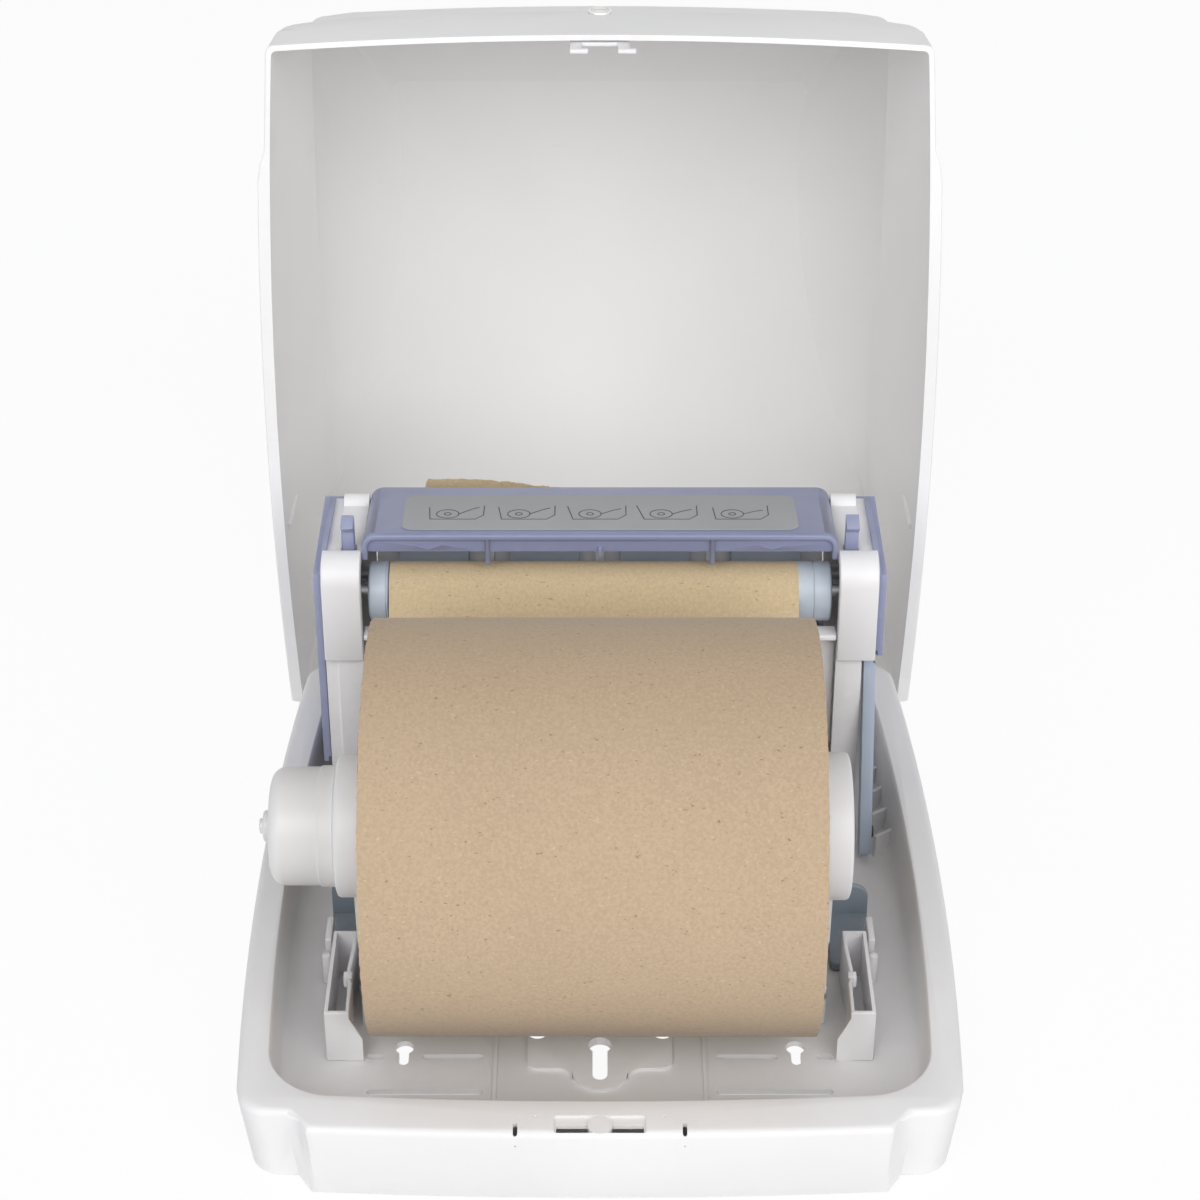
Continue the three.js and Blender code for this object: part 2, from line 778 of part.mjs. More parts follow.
// Arm: a round head beside the roll on a leg that stands on its pivot pin
function rollArm(side, headRadius, rollEndX) {
  const inner = rollEndX + side * headGap;
  const outer = inner + side * headThickness;
  const legOuter = inner + side * armThickness;
  const leg = [
    ...arcPoints(rollY, armFootZ, armFootRadius, halfTurn, halfTurn * 2, arcSteps),
    [rollY + armFootRadius, armFootZ + armFootRadius],
    [rollY + armTopWidth / 2, rollZ - headRadius / 2],
    [rollY - armTopWidth / 2, rollZ - headRadius / 2],
    [rollY - armFootRadius, armFootZ + armFootRadius]];
  const spread = [Math.min(inner, legOuter), Math.max(inner, legOuter)];
  const low = Math.min(inner, outer);
  const high = Math.max(inner, outer);
  const head = cylinderX(headRadius, low, high, rollY, rollZ, hubSegments);
  const bore = cylinderX(headBore + seatGap, low - cutOverrun, high + cutOverrun, rollY, rollZ);
  const pinX = (inner + legOuter) / 2;
  const pinBore = cylinderY(armPinRadius + seatGap, rollY - armTopWidth, rollY + armTopWidth, pinX,
    armFootZ, smallSegments);
  return build(head, { add: [sideSlab(leg, ...spread)], cut: [bore, pinBore] });
}

function leftHub() {
  const boreEnd = rollLeftX - headGap - headThickness - seatGap;
  const end = boreEnd - hubSleeveLength;
  const nub = end - hubNubLength;
  const profile = [
    [0, nub - hubTipLength], [hubTipRadius, nub - hubTipLength], [hubTipRadius, nub],
    [hubNubRadius, nub], [hubNubRadius, end],
    ...arcPoints(hubSleeveRadius - hubEndRound, end + hubEndRound, hubEndRound, -quarterTurn, 0,
      smallArcSteps),
    [hubSleeveRadius, boreEnd], [headBore, boreEnd], [headBore, rollLeftX - seatGap],
    [0, rollLeftX - seatGap]];
  return turnedX(profile, rollY, rollZ, hubSegments);
}

function rightHub() {
  const start = rollRightX + seatGap;
  const boreEnd = rollRightX + headGap + headThickness + seatGap;
  const profile = [
    [0, start], [headBore, start], [headBore, boreEnd], [rightCapRadius, boreEnd],
    [rightCapRadius, boreEnd + rightCapLength], [0, boreEnd + rightCapLength]];
  return turnedX(profile, rollY, rollZ);
}

// Tapered plug that fills the core's mouth, so that it draws out as the arm swings away
function corePlug(endX, side) {
  const root = coreOuter - coreWall - seatGap;
  const inner = endX - side * plugLength;
  const rootPoint = [root, endX];
  const tipPoint = [root - plugTaper, inner];
  const profile = side > 0
    ? [[0, inner], tipPoint, rootPoint, [0, endX]]
    : [[0, endX], rootPoint, tipPoint, [0, inner]];
  return turnedX(profile, rollY, rollZ);
}

function armPin(side, rollEndX) {
  const pinX = rollEndX + side * (headGap + armThickness / 2);
  const reach = armFootRadius + seatGap + bracketWall;
  return cylinderY(armPinRadius, rollY - reach, rollY + reach, pinX, armFootZ, smallSegments);
}

// Two cheeks that hold an arm's pin, moulded as one saddle on the tray floor
function armSaddle(side, rollEndX) {
  const pinX = rollEndX + side * (headGap + armThickness / 2);
  const half = armThickness / 2;
  const near = rollY - armFootRadius - seatGap;
  const far = rollY + armFootRadius + seatGap;
  const start = near - bracketWall;
  const end = far + bracketWall;
  const top = armFootZ + armPinRadius * 2;
  const base = trayFloor + seatGap;
  const sole = box(pinX - half, pinX + half, start, end, base, base + bracketWall);
  const add = [
    box(pinX - half, pinX + half, start, near, base, top),
    box(pinX - half, pinX + half, far, end, base, top)];
  const bore = cylinderY(armPinRadius + seatGap, start - cutOverrun, end + cutOverrun, pinX, armFootZ,
    smallSegments);
  return build(sole, { add, cut: [bore] });
}

// Open channel that stands beside the arm, with a spring catch across its near corner
function armBracket() {
  const base = trayFloor + seatGap;
  const top = base + bracketHeight;
  const body = box(bracketInnerX, bracketOuterX, bracketNearY, bracketFarY, base, top);
  const well = box(bracketInnerX + bracketWall, bracketOuterX - bracketWall, bracketNearY + bracketWall,
    bracketFarY - bracketWall, base + bracketWall, top + cutOverrun);
  const catchY = bracketNearY + (bracketFarY - bracketNearY) / 3;
  const finger = box(bracketInnerX - catchThickness, bracketInnerX + bracketWall / 2, catchY,
    catchY + catchWidth, top - catchReach, top);
  const gate = box(bracketInnerX - cutOverrun, bracketInnerX + bracketWall + seatGap,
    catchY - bracketLipSlope, catchY - seatGap, base + bracketHeight / 2, top + cutOverrun);
  return build(body, { add: [finger], cut: [well, gate] });
}

function armBase() {
  const base = trayFloor + seatGap;
  const top = base + basePlateWallHeight;
  const plate = box(basePlateInnerX, basePlateOuterX, basePlateNearY, basePlateFarY, base,
    base + basePlateThickness);
  const gusset = [
    [basePlateFarY - basePlateWall, base], [basePlateFarY, base], [basePlateFarY, top],
    [basePlateFarY - basePlateWall, top]];
  return build(plate, { add: [sideSlab(gusset, basePlateInnerX, basePlateOuterX)] });
}

// Side frames: hollow towers, open towards the roll, that carry both axles
function framePoints(inset) {
  const near = frameNearY + inset;
  const round = strapRound;
  return [
    [near, trayFloor + seatGap + inset], [frameBackY - inset, trayFloor + seatGap + inset],
    [frameBackY - inset, drumZ - drumRadius - round + inset],
    ...arcPoints(drumY, drumZ, frameBulgeY - drumY - inset, -quarterTurn / 2, quarterTurn / 2, arcSteps),
    [frameBackY - inset / 2, frameTopFarZ - inset],
    ...arcPoints(near + round, frameTopNearZ - inset - round, round, quarterTurn, halfTurn, smallArcSteps)];
}

function sideFrame() {
  const body = sideSlab(framePoints(0), frameInnerX, frameOuterX);
  const hollow = sideSlab(framePoints(frameWall), frameInnerX - cutOverrun, frameOuterX - frameWall);
  const base = trayFloor + seatGap;
  const middle = (frameNearY + frameBackY) / 2;
  const foot = box(frameInnerX - footWidth, frameInnerX + frameWall, middle - footLength / 2,
    middle + footLength / 2, base, base + footThickness);
  const cuts = [hollow];
  const wallStart = frameOuterX - frameWall - cutOverrun;
  const wallEnd = frameOuterX + cutOverrun;
  for (const [y, z] of [[feedY, feedZ], [drumY, drumZ]]) {
    cuts.push(cylinderX(bushOuter + seatGap, wallStart, wallEnd, y, z));
  }
  cuts.push(box(tabX - tabWidth / 2 - runningGap, tabX + tabWidth / 2 + runningGap, tabY - tabSlotLength / 2,
    tabY + tabSlotLength / 2, frameTopFarZ - frameWall, frameTopNearZ + cutOverrun));
  cuts.push(cylinderX(tabPinRadius + seatGap, wallStart, wallEnd, tabY, tabPinZ, smallSegments));
  const shell = build(body, { cut: cuts });
  const boss = cylinderX(guideBossRadius, frameInnerX, frameOuterX, guidePivotY, guidePivotZ, smallSegments);
  const bossBore = cylinderX(guidePinRadius + seatGap, frameInnerX - cutOverrun, frameOuterX - frameWall,
    guidePivotY, guidePivotZ, smallSegments);
  return build(shell, { add: [foot, boss], cut: [bossBore] });
}

function axleBush(y, z, bore) {
  const inside = frameOuterX - frameWall;
  const profile = [
    [bore, inside - bushFlangeThickness], [bushFlange, inside - bushFlangeThickness],
    [bushFlange, inside - seatGap], [bushOuter, inside - seatGap], [bushOuter, frameOuterX],
    [bore, frameOuterX], [bore, inside - bushFlangeThickness]];
  return turnedX(profile, y, z, smallSegments);
}

// Strap that wraps the front and the top edge of a side frame
function frontStrap() {
  const gap = seatGap;
  const outerNear = frameNearY - gap - strapThickness;
  const outerTop = frameTopNearZ + gap + strapThickness;
  const cy = frameNearY + strapRound;
  const cz = frameTopNearZ - strapRound;
  const outline = [
    [outerNear, strapBottomZ],
    ...arcPoints(cy, cz, cy - outerNear, halfTurn, quarterTurn, arcSteps),
    [strapTopY, outerTop], [strapTopY, frameTopNearZ + gap],
    ...arcPoints(cy, cz, strapRound + gap, quarterTurn, halfTurn, arcSteps),
    [frameNearY - gap, strapBottomZ]];
  return sideSlab(outline, frameInnerX, strapOuterX);
}

function frameScrew(y) {
  const z = trayFloor + seatGap + footThickness;
  const screw = new THREE.CylinderGeometry(screwRadius, screwRadius, screwHeight, smallSegments);
  screw.rotateX(quarterTurn).translate(frameInnerX - footWidth / 2, y, z + screwHeight / 2);
  return screw;
}

function crossPanel() {
  const reach = frameInnerX - seatGap;
  const panel = box(-reach, reach, panelY, panelY + panelThickness, panelBottomZ, panelTopZ);
  const ledge = box(-reach, reach, panelY - ledgeDepth, panelY + panelThickness, panelTopZ - ledgeThickness,
    panelTopZ);
  return build(panel, { add: [ledge] });
}

// Side covers: shallow lids over the gear side and the cam side
function sideCoverPoints(inset, bottomZ) {
  const near = sideCoverNearY + inset;
  const cy = frameNearY + strapRound;
  const cz = frameTopNearZ - strapRound;
  const round = strapRound - runningGap - inset;
  const bulge = frameBulgeY - drumY + sideCoverWall - inset;
  const low = Math.min(bottomZ + inset, drumZ - bulge * Math.SQRT1_2);
  return [
    [near, bottomZ + inset], [frameBackY - strapRound - inset, low - strapRound * 2 + inset],
    ...arcPoints(drumY, drumZ, bulge, -quarterTurn / 2, quarterTurn / 2, arcSteps),
    [frameBackY - inset / 2, frameTopFarZ + sideCoverWall - inset],
    [strapTopY + runningGap + inset, frameTopNearZ + sideCoverWall - inset],
    [strapTopY + runningGap + inset, cz + round],
    ...arcPoints(cy, cz, round, quarterTurn, halfTurn - Math.acos((cy - near) / round), smallArcSteps)];
}

function sideCover(bottomZ) {
  const body = sideSlab(sideCoverPoints(0, bottomZ), frameOuterX + seatGap, sideCoverOuterX);
  const well = sideSlab(sideCoverPoints(sideCoverWall, bottomZ), frameOuterX - cutOverrun,
    sideCoverOuterX - sideCoverWall);
  const start = sideCoverNearY - cutOverrun;
  const mouth = box(frameOuterX - cutOverrun, strapOuterX + runningGap, start,
    sideCoverNearY + sideCoverWall + runningGap, -cutOverrun, frameTopNearZ + cutOverrun * 2);
  const underside = box(frameOuterX - cutOverrun, sideCoverOuterX - sideCoverWall, start,
    leverPivotY + leverTopWidth, bottomZ - cutOverrun * 4, bottomZ + sideCoverWall + runningGap);
  return build(body, { cut: [well, mouth, underside] });
}

// Gears with stub teeth that stay clear of each other by the tooth gap
const toothShares = [0, 0.3, 0.5, 0.8];

function gear(teeth, outer, bore, y, z) {
  const x0 = -frameOuterX - gearGap - gearThickness;
  const x1 = -frameOuterX - gearGap;
  const points = [];
  for (let i = 0; i < teeth; i++) {
    const pitch = halfTurn * 2 / teeth;
    toothShares.forEach((share, k) => {
      const angle = (i + share) * pitch;
      const radius = k < 2 ? outer : outer - toothHeight;
      points.push([y + radius * Math.cos(angle), z + radius * Math.sin(angle)]);
    });
  }
  const hole = cylinderX(bore, x0 - cutOverrun, x1 + cutOverrun, y, z, smallSegments);
  return build(sideSlab(points, x0, x1), { cut: [hole] });
}

function gearSizes() {
  const distance = Math.hypot(drumY - feedY, drumZ - feedZ) - toothGap;
  const drumOuter = distance * drumTeeth / (drumTeeth + feedTeeth);
  return { drumOuter, feedOuter: distance - drumOuter };
}

function feedRoller() {
  return ringX(feedRadius, feedAxleRadius + seatGap, feedPaperLeftX + seatGap, feedPaperRightX - seatGap,
    feedY, feedZ);
}

function feedCap(start, end) {
  const low = Math.min(start, end);
  const high = Math.max(start, end);
  const bore = feedAxleRadius + seatGap;
  const face = feedCapRadius - feedCapBevel;
  const profile = [
    [bore, low], [face, low], [feedCapRadius, low + feedCapBevel], [feedCapRadius, high - feedCapBevel],
    [face, high], [bore, high], [bore, low]];
  return turnedX(profile, feedY, feedZ);
}

function drumSegment(index) {
  const middle = (index - (segmentCount - 1) / 2) * segmentPitch;
  return ringX(drumRadius, drumCoreRadius + seatGap, middle - segmentLength / 2, middle + segmentLength / 2,
    drumY, drumZ);
}

function drumRing(index) {
  const middle = (index - segmentCount / 2 + 1) * segmentPitch;
  return ringX(ringRadius, drumCoreRadius + seatGap, middle - ringLength / 2, middle + ringLength / 2,
    drumY, drumZ);
}

// Cam on the right end of the drum axle: a disc with one high side
function drumCam() {
  const points = [
    ...arcPoints(drumY, drumZ, camRadius, 0, halfTurn, camSteps),
    ...arcPoints(drumY, drumZ, camLowRadius, halfTurn, halfTurn * 2, camSteps)];
  const start = frameOuterX + gearGap;
  const end = start + camThickness;
  const hole = cylinderX(drumAxleRadius + seatGap, start - cutOverrun, end + cutOverrun, drumY, drumZ,
    smallSegments);
  return build(sideSlab(points, start, end), { cut: [hole] });
}

// Guide cover: a sloped lid over both rollers with a rounded lip and two guide ribs
function guideTop(y) {
  return guideNearZ + (guideFarZ - guideNearZ) * (y - guideNearY) / (guideFarY - guideNearY);
}

function guideCheek() {
  const nearZ = guideTop(guideNearY);
  const farZ = guideTop(guideFarY);
  return [
    [guideNearY, nearZ], [guideNearY, nearZ - guideLip], [guideNearY + guideLip, nearZ - guideLip],
    [guideFarY, farZ - guideLip / 2], [guideFarY, farZ]];
}

function guideEar() {
  const start = guidePivotY - guideEarRadius;
  return [
    ...arcPoints(guidePivotY, guidePivotZ, guideEarRadius, halfTurn, halfTurn * 2, arcSteps),
    [guideFarY, guideTop(guideFarY)], [start, guideTop(start)]];
}

function guideCover() {
  const nearZ = guideTop(guideNearY);
  const farZ = guideTop(guideFarY);
  const lipBack = guideNearY + guideThickness;
  const ribBottom = nearZ - guideLip - guideRibDrop;
  const plate = [
    [guideNearY, nearZ], [guideNearY, nearZ - guideThickness], [guideFarY, farZ - guideThickness],
    [guideFarY, farZ]];
  const lip = [
    [guideNearY, nearZ], [guideNearY, nearZ - guideLip], [lipBack, nearZ - guideLip], [lipBack, nearZ]];
  const rib = [
    [guideNearY, nearZ - guideThickness], [guideNearY, ribBottom], [lipBack, ribBottom],
    [guideNearY + guideLip, nearZ - guideThickness]];
  const add = [sideSlab(lip, -guideHalfNear, guideHalfNear)];
  const slab = (points, a, b) => sideSlab(points, Math.min(a, b), Math.max(a, b));
  for (const side of [-1, 1]) {
    const outer = side * guideHalfNear;
    const earInner = side * (guideHalfNear - guideEarThickness);
    const pinEnd = side * (guideHalfNear + guidePinLength);
    const x = side * guideRibX;
    add.push(slab(guideCheek(), outer, side * (guideHalfNear - guideThickness)));
    add.push(slab(rib, x - guideRibThickness / 2, x + guideRibThickness / 2));
    add.push(slab(guideEar(), outer, earInner));
    add.push(cylinderX(guidePinRadius, Math.min(earInner, pinEnd), Math.max(earInner, pinEnd),
      guidePivotY, guidePivotZ, smallSegments));
  }
  return build(sideSlab(plate, -guideHalfNear, guideHalfNear), { add });
}

function labelPlate() {
  const inner = [labelLength / 2 - labelRound, labelWidth / 2 - labelRound];
  const corners = [[1, -1, -quarterTurn], [1, 1, 0], [-1, 1, quarterTurn], [-1, -1, halfTurn]];
  const points = corners.flatMap(([sx, sy, start]) =>
    arcPoints(sx * inner[0], sy * inner[1], labelRound, start, start + quarterTurn, smallArcSteps));
  return floorSlab(shapeOf(points), 0, labelThickness);
}

// Release tab: a thumb piece that stands through the side frame's top and turns on its own stub pin
function releaseTab() {
  const half = tabThickness / 2;
  const points = [
    ...arcPoints(tabY, tabPinZ, half, halfTurn, halfTurn * 2, arcSteps),
    [tabY + half, tabTopZ - tabHeadHeight], [tabY + half, tabTopZ],
    [tabY - tabHeadDepth, tabTopZ - half], [tabY - half, tabTopZ - tabHeadHeight]];
  const pin = cylinderX(tabPinRadius, tabX, frameOuterX - seatGap, tabY, tabPinZ, smallSegments);
  return build(sideSlab(points, tabX - tabWidth / 2, tabX + tabWidth / 2), { add: [pin] });
}

function transferLever() {
  const dy = leverFootY - leverPivotY;
  const dz = leverFootZ - leverPivotZ;
  const angle = Math.atan2(dz, dy);
  const square = angle + quarterTurn;
  const points = [
    ...arcPoints(leverPivotY, leverPivotZ, leverTopWidth / 2, square, square + halfTurn, arcSteps),
    ...arcPoints(leverFootY, leverFootZ, leverFootWidth / 2, square - halfTurn, square, arcSteps)];
  const bore = cylinderX(leverPinRadius + seatGap, leverInnerX - cutOverrun, leverOuterX + cutOverrun,
    leverPivotY, leverPivotZ, smallSegments);
  return build(sideSlab(points, leverInnerX, leverOuterX), { cut: [bore] });
}

// The paper's run: up from under the roll, over the feed roller, down the nip and round the drum
function webPath(offset) {
  const feed = feedRadius + webGap + offset;
  const drum = drumRadius + webGap + webThickness - offset;
  const roll = rollRadius + webGap + webThickness - offset;
  const dy = feedY - rollY;
  const dz = feedZ - rollZ;
  const lean = Math.atan2(dz, dy) + Math.asin((roll + feed) / Math.hypot(dy, dz));
  const nip = Math.atan2(drumZ - feedZ, drumY - feedY);
  const cross = Math.asin(Math.min(1, (feed + drum) / Math.hypot(drumY - feedY, drumZ - feedZ)));
  const down = nip - cross;
  const points = [];
  points.push([rollY + roll * Math.cos(lean - quarterTurn), rollZ + roll * Math.sin(lean - quarterTurn)]);
  points.push(...arcPoints(feedY, feedZ, feed, lean + quarterTurn, down + quarterTurn, webFeedSteps));
  points.push(...arcPoints(drumY, drumZ, drum, down + quarterTurn * 3, halfTurn * 2, webDrumSteps));
  points.push([drumY + drum, tailTopZ]);
  return points;
}

function paperWeb() {
  const outside = webPath(webThickness);
  const inside = webPath(0);
  const strip = sideSlab([...outside, ...inside.toReversed()], rollLeftX, rollRightX);
  const far = drumY + drumRadius + webThickness * 2 + webGap;
  const near = far - drumRadius;
  const end = far + cutOverrun;
  const top = tailTopZ + cutOverrun;
  const left = box(rollLeftX - cutOverrun, tailLeftX, near, end, tailShortZ, top);
  const right = box(tailRightX, rollRightX + cutOverrun, near, end, tailShortZ, top);
  return build(strip, { cut: [left, right] });
}

function outletChute() {
  const inner = drumRadius + chuteGap;
  const outer = inner + chuteThickness;
  const points = [
    ...arcPoints(drumY, drumZ, outer, chuteStart, chuteEnd, chuteSteps),
    ...arcPoints(drumY, drumZ, inner, chuteEnd, chuteStart, chuteSteps)];
  const reach = frameInnerX - seatGap;
  return sideSlab(points, -reach, reach);
}

// Assembly
const dispenser = new THREE.Group();

function place(name, geometry, material, parent = dispenser) {
  const mesh = new THREE.Mesh(geometry, material);
  mesh.name = name;
  parent.add(mesh);
  return mesh;
}

function placePair(name, geometry, material) {
  place(`right_${name}`, geometry, material);
  place(`left_${name}`, mirrorX(geometry), material);
}

function placeTray() {
  place('rear_tray', rearTray(), white);
  placePair('arm_bracket', armBracket(), white);
  placePair('arm_base', armBase(), slate);
  for (const side of [-1, 1]) {
    const label = side < 0 ? 'left' : 'right';
    const endX = side < 0 ? rollLeftX : rollRightX;
    place(`${label}_arm_saddle`, armSaddle(side, endX), white);
    place(`${label}_arm_pin`, armPin(side, endX), steel);
    const half = earThickness / 2 + lugThickness;
    place(`${label}_hinge_pin`, cylinderX(hingePinRadius, side * earX - half, side * earX + half,
      hingeY, hingeZ, smallSegments), steel);
  }
}

function placeMechanism() {
  placePair('side_frame', sideFrame(), white);
  placePair('front_strap', frontStrap(), white);
  placePair('drum_bush', axleBush(drumY, drumZ, drumAxleRadius + seatGap), slate);
  placePair('feed_bush', axleBush(feedY, feedZ, feedAxleRadius + seatGap), slate);
  placePair('frame_screw', frameScrew((frameNearY + frameBackY) / 2), steel);
  place('cross_panel', crossPanel(), white);
  place('outlet_chute', outletChute(), white);
  place('right_side_cover', sideCover(rightCoverBottomZ), periwinkle);
  place('left_side_cover', mirrorX(sideCover(leftCoverBottomZ)), periwinkle);
  place('paper_web', paperWeb(), kraft);
}

function placeFeedRoller() {
  const { feedOuter } = gearSizes();
  place('feed_roller', feedRoller(), slate);
  place('feed_axle', cylinderX(feedAxleRadius, -axleReachX, axleReachX, feedY, feedZ, smallSegments), steel);
  place('left_feed_cap', feedCap(feedPaperLeftX, -feedCapReachX), paleBlue);
  place('right_feed_cap', feedCap(feedPaperRightX, feedCapReachX), paleBlue);
  place('feed_gear', gear(feedTeeth, feedOuter, feedAxleRadius + seatGap, feedY, feedZ), white);
}

function placeDrum() {
  const { drumOuter } = gearSizes();
  place('drum_axle', cylinderX(drumAxleRadius, -axleReachX, axleReachX, drumY, drumZ, smallSegments), steel);
  const core = ringX(drumCoreRadius, drumAxleRadius + seatGap, -drumReachX, drumReachX, drumY, drumZ);
  place('drum_core', core, white);
  for (let i = 0; i < segmentCount; i++) place(`drum_segment_${i + 1}`, drumSegment(i), paleBlue);
  for (let i = 0; i < segmentCount - 1; i++) place(`drum_ring_${i + 1}`, drumRing(i), white);
  place('drum_gear', gear(drumTeeth, drumOuter, drumAxleRadius + seatGap, drumY, drumZ), white);
  place('drum_cam', drumCam(), slate);
}

function placeGuide() {
  place('guide_cover', guideCover(), periwinkle);
  const label = place('instruction_label', labelPlate(), labelGrey);
  const middleY = guideNearY + (guideFarY - guideNearY) * labelOffsetShare;
  label.rotation.x = Math.atan2(guideFarZ - guideNearZ, guideFarY - guideNearY);
  label.position.set(0, middleY, guideTop(middleY) + seatGap);
  placePair('release_tab', releaseTab(), periwinkle);
}

function placeRoll() {
  place('paper_roll', paperRoll(), kraft);
  place('roll_core', rollCore(), board);
  place('left_roll_arm', rollArm(-1, leftHeadRadius, rollLeftX), white);
  place('right_roll_arm', rollArm(1, rightHeadRadius, rollRightX), white);
  place('left_hub', leftHub(), white);
  place('right_hub', rightHub(), white);
  place('left_core_plug', corePlug(rollLeftX, -1), white);
  place('right_core_plug', corePlug(rollRightX, 1), white);
}

function placeLever() {
  place('transfer_lever', transferLever(), paleBlue);
  const pinEnd = sideCoverOuterX - sideCoverWall - seatGap;
  const pin = cylinderX(leverPinRadius, frameOuterX + seatGap, pinEnd, leverPivotY, leverPivotZ,
    smallSegments);
  place('lever_pin', pin, steel);
}

// The cover hangs in a group that turns about its hinge
function placeCover() {
  const hinge = new THREE.Group();
  hinge.position.set(0, hingeY, hingeZ);
  hinge.rotation.x = -openAngle;
  const cover = new THREE.Group();
  cover.position.set(0, -hingeY, -hingeZ);
  hinge.add(cover);
  dispenser.add(hinge);
  place('cover_shell', coverShell(), white, cover);
  place('lock_barrel', lockBarrel(), steel, cover);
  place('cover_latch', coverLatch(), white, cover);
}

placeTray();
placeMechanism();
placeFeedRoller();
placeDrum();
placeGuide();
placeRoll();
placeLever();
placeCover();

export default dispenser;
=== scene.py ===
import json
import math

import bmesh
import bpy
from mathutils import Matrix, Vector, noise

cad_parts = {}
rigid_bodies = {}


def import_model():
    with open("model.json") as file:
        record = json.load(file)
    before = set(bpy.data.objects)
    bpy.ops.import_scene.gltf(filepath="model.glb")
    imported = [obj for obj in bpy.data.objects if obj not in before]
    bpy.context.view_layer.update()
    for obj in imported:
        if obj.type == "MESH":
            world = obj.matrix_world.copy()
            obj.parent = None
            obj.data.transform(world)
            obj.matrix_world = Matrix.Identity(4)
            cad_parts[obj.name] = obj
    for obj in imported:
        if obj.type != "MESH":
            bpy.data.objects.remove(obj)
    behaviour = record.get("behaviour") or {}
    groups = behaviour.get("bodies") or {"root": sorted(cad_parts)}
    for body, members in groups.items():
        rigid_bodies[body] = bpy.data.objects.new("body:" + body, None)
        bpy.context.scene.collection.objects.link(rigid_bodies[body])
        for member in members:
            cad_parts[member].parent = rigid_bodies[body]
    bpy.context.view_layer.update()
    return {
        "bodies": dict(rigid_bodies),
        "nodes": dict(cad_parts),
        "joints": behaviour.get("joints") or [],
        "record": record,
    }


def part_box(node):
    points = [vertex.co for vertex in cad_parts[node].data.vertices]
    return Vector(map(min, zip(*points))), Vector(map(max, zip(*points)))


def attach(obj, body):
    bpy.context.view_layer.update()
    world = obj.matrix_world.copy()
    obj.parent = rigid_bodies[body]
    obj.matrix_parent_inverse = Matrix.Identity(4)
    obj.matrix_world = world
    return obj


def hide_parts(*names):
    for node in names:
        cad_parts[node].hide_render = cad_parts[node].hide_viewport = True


# A roll towel dispenser for a wall, lying on its back with its cover swung open.
# Lengths are millimetres until a mesh is made. X runs across, Y from the lock end to the outlet end,
# Z out from the wall.
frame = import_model()
MM = 0.001


class Limits:
    """The box of a solid, in millimetres"""

    def __init__(self, node):
        low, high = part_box(node)
        self.x0, self.y0, self.z0 = low / MM
        self.x1, self.y1, self.z1 = high / MM
        self.x, self.y, self.z = (low + high) / (2 * MM)
        self.radius = (self.z1 - self.z0) / 2


def pivot(name):
    return next(joint for joint in frame["joints"] if joint["name"] == name)


def pivot_place(name):
    return [value / MM for value in pivot(name)["pos_m"]]


# Meshes
def new_piece(name, points, faces):
    mesh = bpy.data.meshes.new(name)
    mesh.from_pydata([tuple(value * MM for value in point) for point in points], [], faces)
    piece = bpy.data.objects.new(name, mesh)
    bpy.context.scene.collection.objects.link(piece)
    return piece


def edit(piece, action):
    work = bmesh.new()
    work.from_mesh(piece.data)
    action(work)
    work.to_mesh(piece.data)
    work.free()
    piece.data.update()
    return piece


def face_outwards(piece):
    return edit(piece, lambda work: bmesh.ops.recalc_face_normals(work, faces=work.faces))


def bake_modifiers(piece):
    graph = bpy.context.evaluated_depsgraph_get()
    mesh = bpy.data.meshes.new_from_object(piece.evaluated_get(graph))
    piece.modifiers.clear()
    old = piece.data
    piece.data = mesh
    bpy.data.meshes.remove(old)
    return piece


def shade(piece, degrees=35):
    piece.data.polygons.foreach_set("use_smooth", [True] * len(piece.data.polygons))
    piece.data.set_sharp_from_angle(angle=math.radians(degrees))
    return piece


def soften(piece, width, segments=2, degrees=30):
    """Rounds every edge that is sharper than the angle"""
    bevel = piece.modifiers.new("edges", "BEVEL")
    bevel.width = width * MM
    bevel.segments = segments
    bevel.limit_method = "ANGLE"
    bevel.angle_limit = math.radians(degrees)
    bevel.use_clamp_overlap = True
    bevel.harden_normals = False
    return bake_modifiers(piece)


def combine(piece, others, operation):
    for other in others:
        tool = piece.modifiers.new(operation, "BOOLEAN")
        tool.operation = operation
        tool.solver = "EXACT"
        tool.object = other
    bake_modifiers(piece)
    for other in others:
        mesh = other.data
        bpy.data.objects.remove(other)
        bpy.data.meshes.remove(mesh)
    return piece


def add(piece, *others):
    return combine(piece, others, "UNION")


def cut(piece, *others):
    return combine(piece, others, "DIFFERENCE")


def tidy_flats(piece, degrees=1):
    """Merges doubles and joins the triangles of flat faces"""
    def action(work):
        bmesh.ops.remove_doubles(work, verts=work.verts, dist=0.002 * MM)
        bmesh.ops.dissolve_limit(work, angle_limit=math.radians(degrees), verts=work.verts,
                                 edges=work.edges)
    return edit(piece, action)


# Basic shapes
def arc(cx, cy, radius, start, end, steps):
    """Points on an arc, with its angles in degrees"""
    points = []
    for i in range(steps + 1):
        angle = math.radians(start + (end - start) * i / steps)
        points.append((cx + radius * math.cos(angle), cy + radius * math.sin(angle)))
    return points


def loft(name, rings, start=None, end=None):
    """A closed skin through rings of equal counts, with a point or a flat face at each end"""
    count = len(rings[0])
    points = [point for ring in rings for point in ring]
    faces = []
    for r in range(len(rings) - 1):
        for i in range(count):
            j = (i + 1) % count
            faces.append((r * count + i, r * count + j, (r + 1) * count + j, (r + 1) * count + i))
    last = (len(rings) - 1) * count
    for centre, base in ((start, 0), (end, last)):
        if centre is None:
            faces.append([base + i for i in range(count)])
            continue
        points.append(centre)
        faces.extend((len(points) - 1, base + i, base + (i + 1) % count) for i in range(count))
    return face_outwards(new_piece(name, points, faces))


